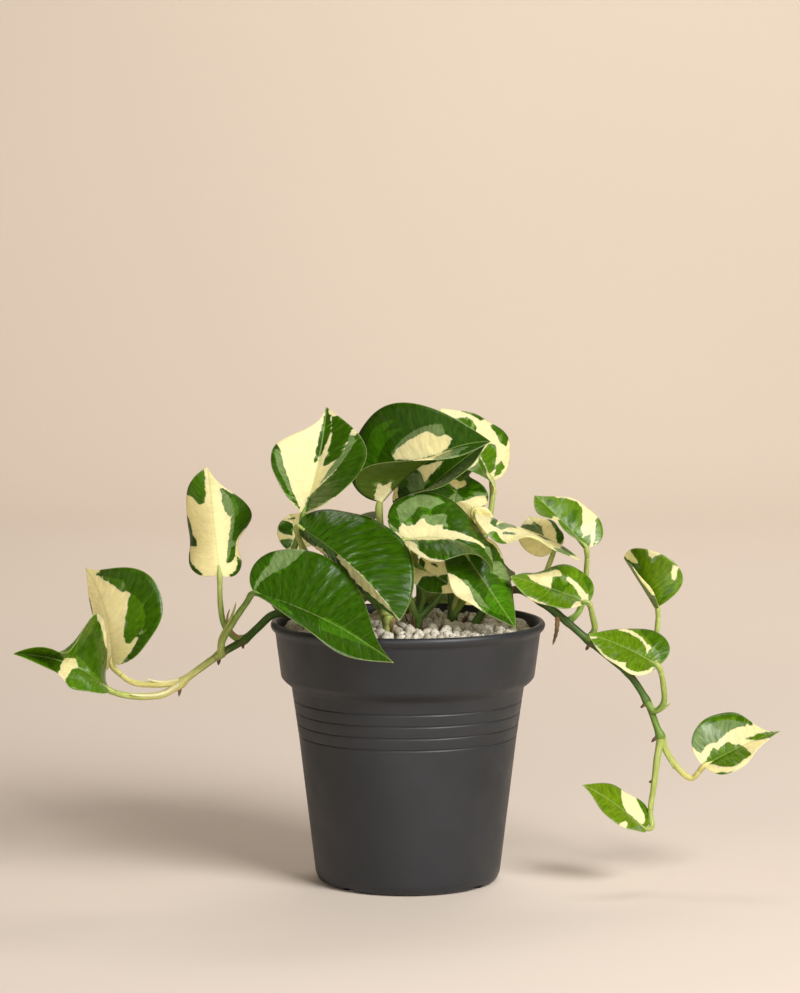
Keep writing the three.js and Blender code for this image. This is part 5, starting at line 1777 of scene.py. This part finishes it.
            .53, -.36, .52, -.24, .46, -.3, .4, -.46, .4, -.32, .33, -.36, .26, -.54, .24), (CREAM, .3, .2,
            .5, .27, .6, .31, .75, .3, .92, .38, 1, .52, 1, .12, .6, .1, .3, .13), (SAGE, -1, .92, -.6, .83,
            -.8, .78, -1, .78), (CREAM, -1, .15, -.4, .12, 0, .08, .4, .1, 1, .12, 1, 0, -1, 0),
        ), relief=.18,
    ),
    Leaf(
        "leaf_front_right_lower", "leaf_green", (30.5, -27, 183), (57.5, -43, 144.5), (.3, -.79, .54),
        (0, -.01, -.01, -6),
        Half(20, (16, -10, -10), (-28, -36), (.13, .3, .34, .2), (.9, .15)),
        Half(21, (18, -2, 16), (-10, -6), (.09, .32, .35, .18), (2, .05)),
        Petiole("crown_stem_front", 2.1, 1.6, 9, (VINE, FRESH), ((5.5, -20, 147), (15.5, -18, 156.5),
            (24, -20, 170.5))),
        DEEP, (
            (SAGE, -1, .6, -.6, .55, -.34, .48, -.5, .42, -.8, .43, -1, .48), (MID, -1, .64, -.2, .6, .3, .66,
            .7, .7, .7, .8, 0, .96, -1, .96), (SAGE, .45, .45, .6, .42, .7, .6, .85, .66, .7, .74, .5, .62),
            (CREAM, .56, .5, .6, .42, .8, .38, 1, .36, 1, .72, .82, .62, .65, .57), (CREAM, -1, .22, -.9, .33,
            -.94, .42, -1, .43),
        ),
    ),
    Leaf(
        "leaf_inner_right", "leaf_green", (24.5, 12, 205), (36.5, 31, 223), (-.12, -.64, .76),
        (.02, -.01, -.08, -8),
        Half(17, (12, 0, 12), (-18, -18), (.1, .36, .32, .22), (.3, 0)),
        Half(19, (2, 0, 50), (-24, -16), (.1, .32, .05, .42), (.3, 0)),
        Petiole("crown_stem_right", 1.9, 1.5, 5, (VINE, FRESH), ((24.5, 8, 147.5), (22, 10, 169.5),
            (21.5, 10, 191.5))),
        DEEP, (
            (MID, -.5, .8, 0, .86, .5, .85, 1, .8, 1, .6, .5, .55, .4, .7, .2, .78, -.4, .72), (CREAM, -.45,
            .62, -.1, .58, -.05, .54, 0, .6, .3, .64, .4, .68, .2, .76, 0, .78, -.1, .72, -.45, .7), (SAGE,
            -.2, .3, 0, .5, .3, .35, .15, .2, 0, .2), (CREAM, .36, .34, .6, .44, .9, .47, 1, .4, .9, .25, .6,
            .28),
        ),
    ),
    Leaf(
        "leaf_inner_cream", "leaf_cream", (36, 1, 204), (31, 8, 186), (.19, .93, .31), (.05, 0, 0, 0),
        Half(12, (10, 0, 5), (-10, -10), (.2, .36, .3, .22), (.6, 0)),
        Half(12, (10, 0, 5), (-10, -10), (.2, .36, .3, .22), (.6, 0)),
        Petiole("crown_stem_right", 1.7, 1.4, 6.5, (PALE, BUTTER), ((24.5, 8, 146), (29.5, 2, 165),
            (32, -3, 185), (34.5, -4, 196.5))),
        CREAM, (
            (SAGE, -1, .4, -.6, .45, -.4, .6, -.6, .8, -1, .7), (MID, .4, .3, .7, .35, 1, .5, .8, .6, .5, .5),
        ), youth=.4,
    ),
    Leaf(
        "leaf_right_edge_on", "leaf_cream", (37, -14, 204), (93.5, -20, 178.5), (.41, .01, .91),
        (.02, 0, -.04, 16),
        Half(15.5, (8, 0, 12), (-26, -16), (.02, .36, .34, .21), (-.6, .89)),
        Half(20.5, (-18, 4, -6), (-40, 44), (.02, .35, .41, .14), (3, .17)),
        Petiole("crown_stem_right", 1.7, 1.4, 4, (FRESH, BUTTER), ((24.5, 8, 143.5), (34, 0, 160),
            (40.5, -6, 179.5), (39, -10, 194))),
        CREAM, (
            (SAGE, -1, .5, -.3, .5, 0, .55, .3, .45, .5, .41, .5, .36, .1, .4, -.3, .46, -1, .42), (DEEP, -.3,
            .36, .5, .37, .5, .31, -.3, .31), (DEEP, .45, .5, .56, .52, .64, .42, .5, .44), (MID, .65, .38, 1,
            .46, 1, .34), (MID, -1, .96, 0, .94, 1, .9, 1, .78, .5, .8, 0, .88, -1, .8), (MID, -1, .62, -.4,
            .66, -.3, .74, -1, .72),
        ), youth=.3,
    ),
    Leaf(
        "leaf_right_small", "leaf_cream", (80, 8, 182.5), (67, 22, 198), (-.04, -.76, .65), (.06, 0, -.04, 0),
        Half(14.5, (14, 0, 18), (-18, -16), (.1, .38, .35, .19), (.3, .98)),
        Half(11.5, (-4, -2, 12), (-28, -20), (.09, .38, .31, .22), (.5, .94)),
        Petiole("vine_right", 1.7, 1.4, 4.5, (TAN, PALE), ((72, -3, 153.5), (74, 3, 160.5), (76, 6, 169))),
        CREAM, (
            (SAGE, -1, .77, -.7, .81, -.3, .81, 0, .88, .22, .85, .25, .7, .1, .6, 0, .52, -.2, .62, -.5, .7,
            -.8, .73), (DEEP, .48, .2, .5, .32, .65, .42, .8, .58, 1, .72, 1, .3, .85, .18),
        ), youth=.4,
    ),
    Leaf(
        "leaf_right_upper", "leaf_green", (96.5, -8, 184.5), (69, -1, 212), (.29, -.82, .5),
        (.02, 0, .01, -4),
        Half(19.5, (56, 10, 26), (-8, 0), (.04, .4, .45, .09), (1.1, .16)),
        Half(18.5, (14, -4, 8), (-16, -24), (.11, .38, .27, .21), (.6, .96)),
        Petiole("vine_right", 1.8, 1.4, 7, (FRESH, PALE), ((87.5, -5, 143), (93.5, 2, 147.5),
            (96.5, 3, 156.5), (97.5, 1, 169.5))),
        MID, (
            (DEEP, .05, .5, .5, .5, .75, .52, .6, .58, .3, .6, .05, .58), (DEEP, .1, .86, .5, .87, .8, .84,
            .7, .78, .2, .82), (CREAM, .15, .28, .3, .4, .5, .44, .85, .5, .92, .56, .93, .78, 1, .8, 1, .38,
            .86, .38, .7, .3, .65, .2, .72, .12, 1, .08, 1, 0, .6, .04, .5, .15, .48, .28, .3, .29), (CREAM,
            -1, .48, -.6, .58, -.2, .64, 0, .65, 0, .69, -.4, .68, -.8, .6, -1, .56), (SAGE, -1, .34, -.5,
            .39, -.5, .45, -1, .42),
        ), youth=.6,
    ),
    Leaf(
        "leaf_right_over_rim", "leaf_cream", (97.5, -19, 155), (55, -29, 171), (.41, -.47, .78),
        (0, 0, .04, -12),
        Half(16.5, (32, -4, -12), (-26, -10), (.02, .36, .41, .04), (1.1, .15)),
        Half(20, (28, -2, -16), (2, -38), (.04, .34, .33, .21), (1.7, .55)),
        Petiole("vine_right", 1.9, 1.5, 4, (FRESH, PALE), ((98, -6, 133), (101.5, -9, 139), (100, -14, 148))),
        MID, (
            (DEEP, -.3, .58, 0, .63, .3, .6, .5, .56, .56, .5, .46, .42, .35, .42, 0, .5, -.2, .53), (CREAM,
            0, .63, .2, .62, .52, .57, .6, .49, .8, .5, .86, .6, .75, .8, .2, .81, 0, .75), (CREAM, 0, .2, .2,
            .3, .4, .42, .5, .47, .58, .44, .46, .3, .42, .22, .6, .18, .3, .08, 0, .08), (CREAM, -1, .41,
            -.6, .36, -.6, .32, -1, .34), (CREAM, -1, .55, -.93, .58, -.92, .7, -1, .74), (DEEP, .6, .2, .9,
            .22, 1, .3, .9, .36, .7, .3),
        ), youth=.6,
    ),
    Leaf(
        "leaf_right_middle", "leaf_green", (135, -21, 121.5), (98, -17, 138), (.25, -.65, .72),
        (0, 0, .05, -2),
        Half(18.5, (22, 6, 2), (-34, -2), (.02, .35, .44, .07), (.6, .29)),
        Half(18, (26, -4, -6), (-12, -30), (.07, .32, .32, .22), (-.3, .28)),
        Petiole("vine_right", 1.8, 1.5, 5, (FRESH, PALE), ((130, -8, 100), (134.5, -10, 94.5), (139, -13, 99),
            (139, -15, 108))),
        MID, (
            (DEEP, .5, .38, .7, .48, 1, .52, 1, .18, .7, .1, .5, .1), (SAGE, .2, .12, .48, .13, .48, .36, .34,
            .34), (CREAM, -1, .92, -.9, .8, -.92, .65, -.85, .55, -.7, .5, -.45, .47, -.6, .5, -.85, .47,
            -.88, .4, -.8, .3, -.58, .15, -.8, .1, -1, .2), (CREAM, .15, .36, .33, .43, .6, .55, .9, .69, 1,
            .7, 1, .62, .85, .58, .6, .47, .45, .42, .42, .36, .3, .38), (CREAM, -1, .97, -.2, .93, -.3, .91,
            -1, .94), (CREAM, -.1, .08, .2, .06, .28, .15, .1, .2),
        ), youth=.75,
    ),
    Leaf(
        "leaf_right_upright", "leaf_green", (136.5, 2, 150), (119.5, 23, 175), (-.07, -.79, .61),
        (.04, .04, -.01, -2),
        Half(17.5, (78, 2, 76), (10, -14), (.08, .36, .32, .22), (.5, .03)),
        Half(22.5, (32, 0, 68), (-28, 0), (.02, .32, .46, .05), (.1, 0)),
        Petiole("vine_right", 1.7, 1.4, 5.5, (FRESH, PALE), ((119.5, -8, 115), (127, -3, 119.5),
            (134, 2, 126.5), (136.5, 3, 137.5))),
        MID, (
            (CREAM, .3, .92, .44, .75, .6, .8, .8, .85, 1, .86, 1, .98, .4, .97), (CREAM, .78, .63, .9, .6, 1,
            .58, 1, .68, .84, .66), (CREAM, .7, .4, .8, .46, .95, .49, 1, .44, .88, .42, .8, .36), (SAGE, .3,
            .86, .4, .78, .36, .68, .22, .78), (CREAM, -1, .3, -.7, .32, -.6, .42, -.75, .55, -1, .6), (DEEP,
            .25, .1, .6, .15, .9, .3, .7, .36, .4, .3),
        ), youth=.8,
    ),
    Leaf(
        "leaf_right_outer", "leaf_green", (162, -8, 64), (203, -10, 83.5), (-.31, -.76, .57),
        (-.04, .01, -.05, 0),
        Half(23, (34, -2, 0), (-12, -22), (.05, .44, .15, .36), (1, .78)),
        Half(19.5, (44, 2, 36), (-38, -10), (.02, .32, .29, .24), (.7, .76)),
        Petiole("vine_right", 2, 1.5, 4.5, (PALE, BUTTER), ((138.5, -8, 80), (141, -7, 72.5), (149, -6, 61),
            (155.5, -5, 56.5))),
        CREAM, (
            (SAGE, -1, .22, -.8, .19, -.5, .2, -.45, .34, -.35, .4, -.4, .48, -.55, .58, -.7, .7, -1, .7),
            (DEEP, -1, .35, -.84, .38, -.8, .46, -.78, .62, -.84, .78, -1, .76), (MID, -.2, .12, -.1, .1, .2,
            .2, .6, .33, .85, .45, .8, .55, .9, .66, 0, .67, -.15, .58, -.25, .52, -.16, .4, -.28, .37, -.2,
            .25), (MID, -.2, .7, -.1, .76, .2, .82, 1, .91, 1, 1, -.7, 1, -.8, .93, -.5, .86, -.3, .78),
            (DEEP, .88, .3, 1, .24, 1, .42, .95, .38),
        ), youth=.6,
    ),
    Leaf(
        "leaf_right_lowest", "leaf_green", (129, -20, 31.5), (94.5, -24, 56.5), (.44, -.75, .49),
        (.01, .01, .04, -10),
        Half(14, (42, -4, 16), (-20, -18), (.02, .36, .3, .24), (-.7, .69)),
        Half(15, (-2, -4, -6), (-10, -30), (.02, .35, .33, .2), (.8, .95)),
        Petiole("vine_right", 2.1, 1.5, 16, (PALE, PALE), ((138.5, -8, 80), (136.5, -9, 70.5),
            (134.5, -11, 55), (132.5, -12, 39.5), (133, -15, 31.5))),
        MID, (
            (SAGE, -.95, .3, -.6, .2, -.1, .15, -.1, .24, -.6, .3, -.9, .38), (CREAM, .04, .5, .2, .56, .6,
            .57, 1, .53, 1, .42, .85, .4, .7, .32, .52, .2, .2, .18, .04, .24), (CREAM, -1, .46, -.6, .44,
            -.65, .41, -1, .41), (DEEP, .54, .18, .68, .36, .85, .41, 1, .42, 1, .28, .75, .17),
        ), youth=1,
    ),
    Leaf(
        "leaf_inner_front", "leaf_cream", (5.5, -23, 175.5), (29, -30, 161.5), (.08, -.83, .55),
        (.05, 0, 0, 0),
        Half(10), Half(11),
        Petiole("crown_stem_front", 1.6, 1.3, 5, (VINE, FRESH), ((5.5, -20, 149), (8.5, -22, 159.5),
            (5, -20, 167.5))),
        CREAM, (
            (DEEP, -.55, .66, -.2, .76, .1, .78, .5, .7, 1, .72, 1, .4, .4, .38, .1, .5, -.1, .6, -.4, .64),
            (DEEP, -1, .18, -.5, .28, .1, .28, .2, .2, 0, .05, -.6, .02, -1, .08), (DEEP, -.6, .42, -.5, .48,
            -.46, .36, -.54, .34),
        ),
    ),
    Leaf(
        "leaf_back_left", "leaf_green", (-30, 32, 196), (-44, 72, 172), (-.32, .4, .86), (.05, 0, 0, 0),
        Half(19), Half(19),
        Petiole("crown_stem_back", 1.9, 1.5, 7.5, (FRESH, PALE), ((-2, 38, 144), (-12, 37, 162),
            (-24, 32, 182))),
        MID, (
            (CREAM, -1, .5, -.6, .52, -.3, .6, 0, .72, -.3, .78, -.7, .7, -1, .66), (SAGE, .2, .3, .6, .35,
            .85, .5, .5, .52, .25, .42), (DEEP, .3, .62, .8, .66, 1, .8, .5, .82), (DEEP, -1, .14, -.5, .12,
            -.4, .35, -.8, .42, -1, .4),
        ), youth=.3,
    ),
    Leaf(
        "leaf_back_centre", "leaf_green", (12, 36, 192), (24, 80, 168), (.2, .43, .88), (.05, 0, 0, 0),
        Half(19), Half(19),
        Petiole("crown_stem_back", 1.9, 1.5, 7.5, (FRESH, PALE), ((-2, 38, 148), (2, 35, 168), (8, 33, 184))),
        DEEP, (
            (CREAM, .05, .3, .4, .34, .75, .45, 1, .5, 1, .64, .6, .62, .3, .52, .1, .42), (SAGE, -.7, .3,
            -.4, .28, -.3, .5, -.6, .6, -.8, .5), (MID, -.3, .72, .3, .74, .5, .9, -.4, .9),
        ),
    ),
    Leaf(
        "leaf_back_right", "leaf_green", (38, 34, 176), (58, 68, 154), (.45, .29, .85), (.05, 0, 0, 0),
        Half(14), Half(14),
        Petiole("crown_stem_back", 1.8, 1.5, 7, (FRESH, PALE), ((-2, 38, 142), (14, 36, 152), (30, 32, 166))),
        MID, (
            (CREAM, -.1, .1, -.5, .14, -.6, .34, -.35, .48, -.1, .4), (DEEP, .2, .2, .7, .22, 1, .4, .8, .6,
            .4, .5), (SAGE, -.9, .6, -.4, .64, -.3, .8, -.8, .8),
        ), youth=.5,
    ),
    Leaf(
        "leaf_back_low_left", "leaf_green", (-24, 52, 164), (-34, 92, 132), (-.19, .58, .79), (.05, 0, 0, 0),
        Half(17), Half(17),
        Petiole("crown_stem_back", 1.8, 1.5, 8, (FRESH, PALE), ((-2, 38, 141), (-12, 44, 148),
            (-20, 48, 158))),
        DEEP, (
            (SAGE, .2, .5, .6, .5, .8, .66, .4, .7), (CREAM, -1, .2, -.7, .22, -.5, .34, -.55, .5, -.8, .46,
            -1, .5), (MID, -.3, .6, 0, .66, -.1, .82, -.6, .8),
        ),
    ),
    Leaf(
        "leaf_back_low_right", "leaf_green", (20, 56, 162), (26, 94, 126), (.11, .67, .73), (.05, 0, 0, 0),
        Half(17), Half(17),
        Petiole("crown_stem_back", 1.8, 1.5, 8, (FRESH, PALE), ((-2, 38, 143), (6, 44, 150), (15, 51, 158))),
        MID, (
            (DEEP, -1, .2, -.6, .16, -.3, .3, -.4, .55, -.8, .6, -1, .6), (CREAM, .3, .62, .6, .58, 1, .62, 1,
            .8, .6, .84, .3, .76), (SAGE, .2, .2, .5, .22, .5, .4, .25, .42),
        ), youth=.4,
    ),
)


# The whole scene


def clear_startup() -> None:
    """Removes the objects that Blender starts with."""
    kept = {*frame["nodes"].values(), *frame["bodies"].values()}
    for leftover in [one for one in bpy.data.objects if one not in kept]:
        bpy.data.objects.remove(leftover)


def dress_mix(mix: bpy.types.Material) -> None:
    """Gives the carried-over solid of potting mix, seen only through the drain holes, its material.

    Args:
        mix: the potting mix's material.
    """
    materials = frame["nodes"]["potting_mix"].data.materials
    materials.clear()
    materials.append(mix)


def corners(bounds: Any) -> list[list[float]]:
    """A box's two corners as plain lists of numbers."""
    return [[float(value) for value in corner] for corner in bounds]


def main() -> None:
    """Builds the studio, the pot and the plant."""
    logging.basicConfig(level=logging.INFO, format="%(message)s")
    Studio().build()
    mix, stalk, blade = BarkAndPeat().build(), JuicyStalk().build(), VariegatedBlade().build()
    NurseryPot().build(MouldedPolypropylene().build())
    dress_mix(mix)
    PumiceBed().build(PumiceStone().build(), mix, STEMS)
    for stem in STEMS:
        stem.build(LEAVES, stalk)
    for number, leaf in enumerate(LEAVES):
        leaf.build(blade, stalk, number)


if __name__ == "__main__":
    clear_startup()
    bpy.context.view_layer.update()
    main()
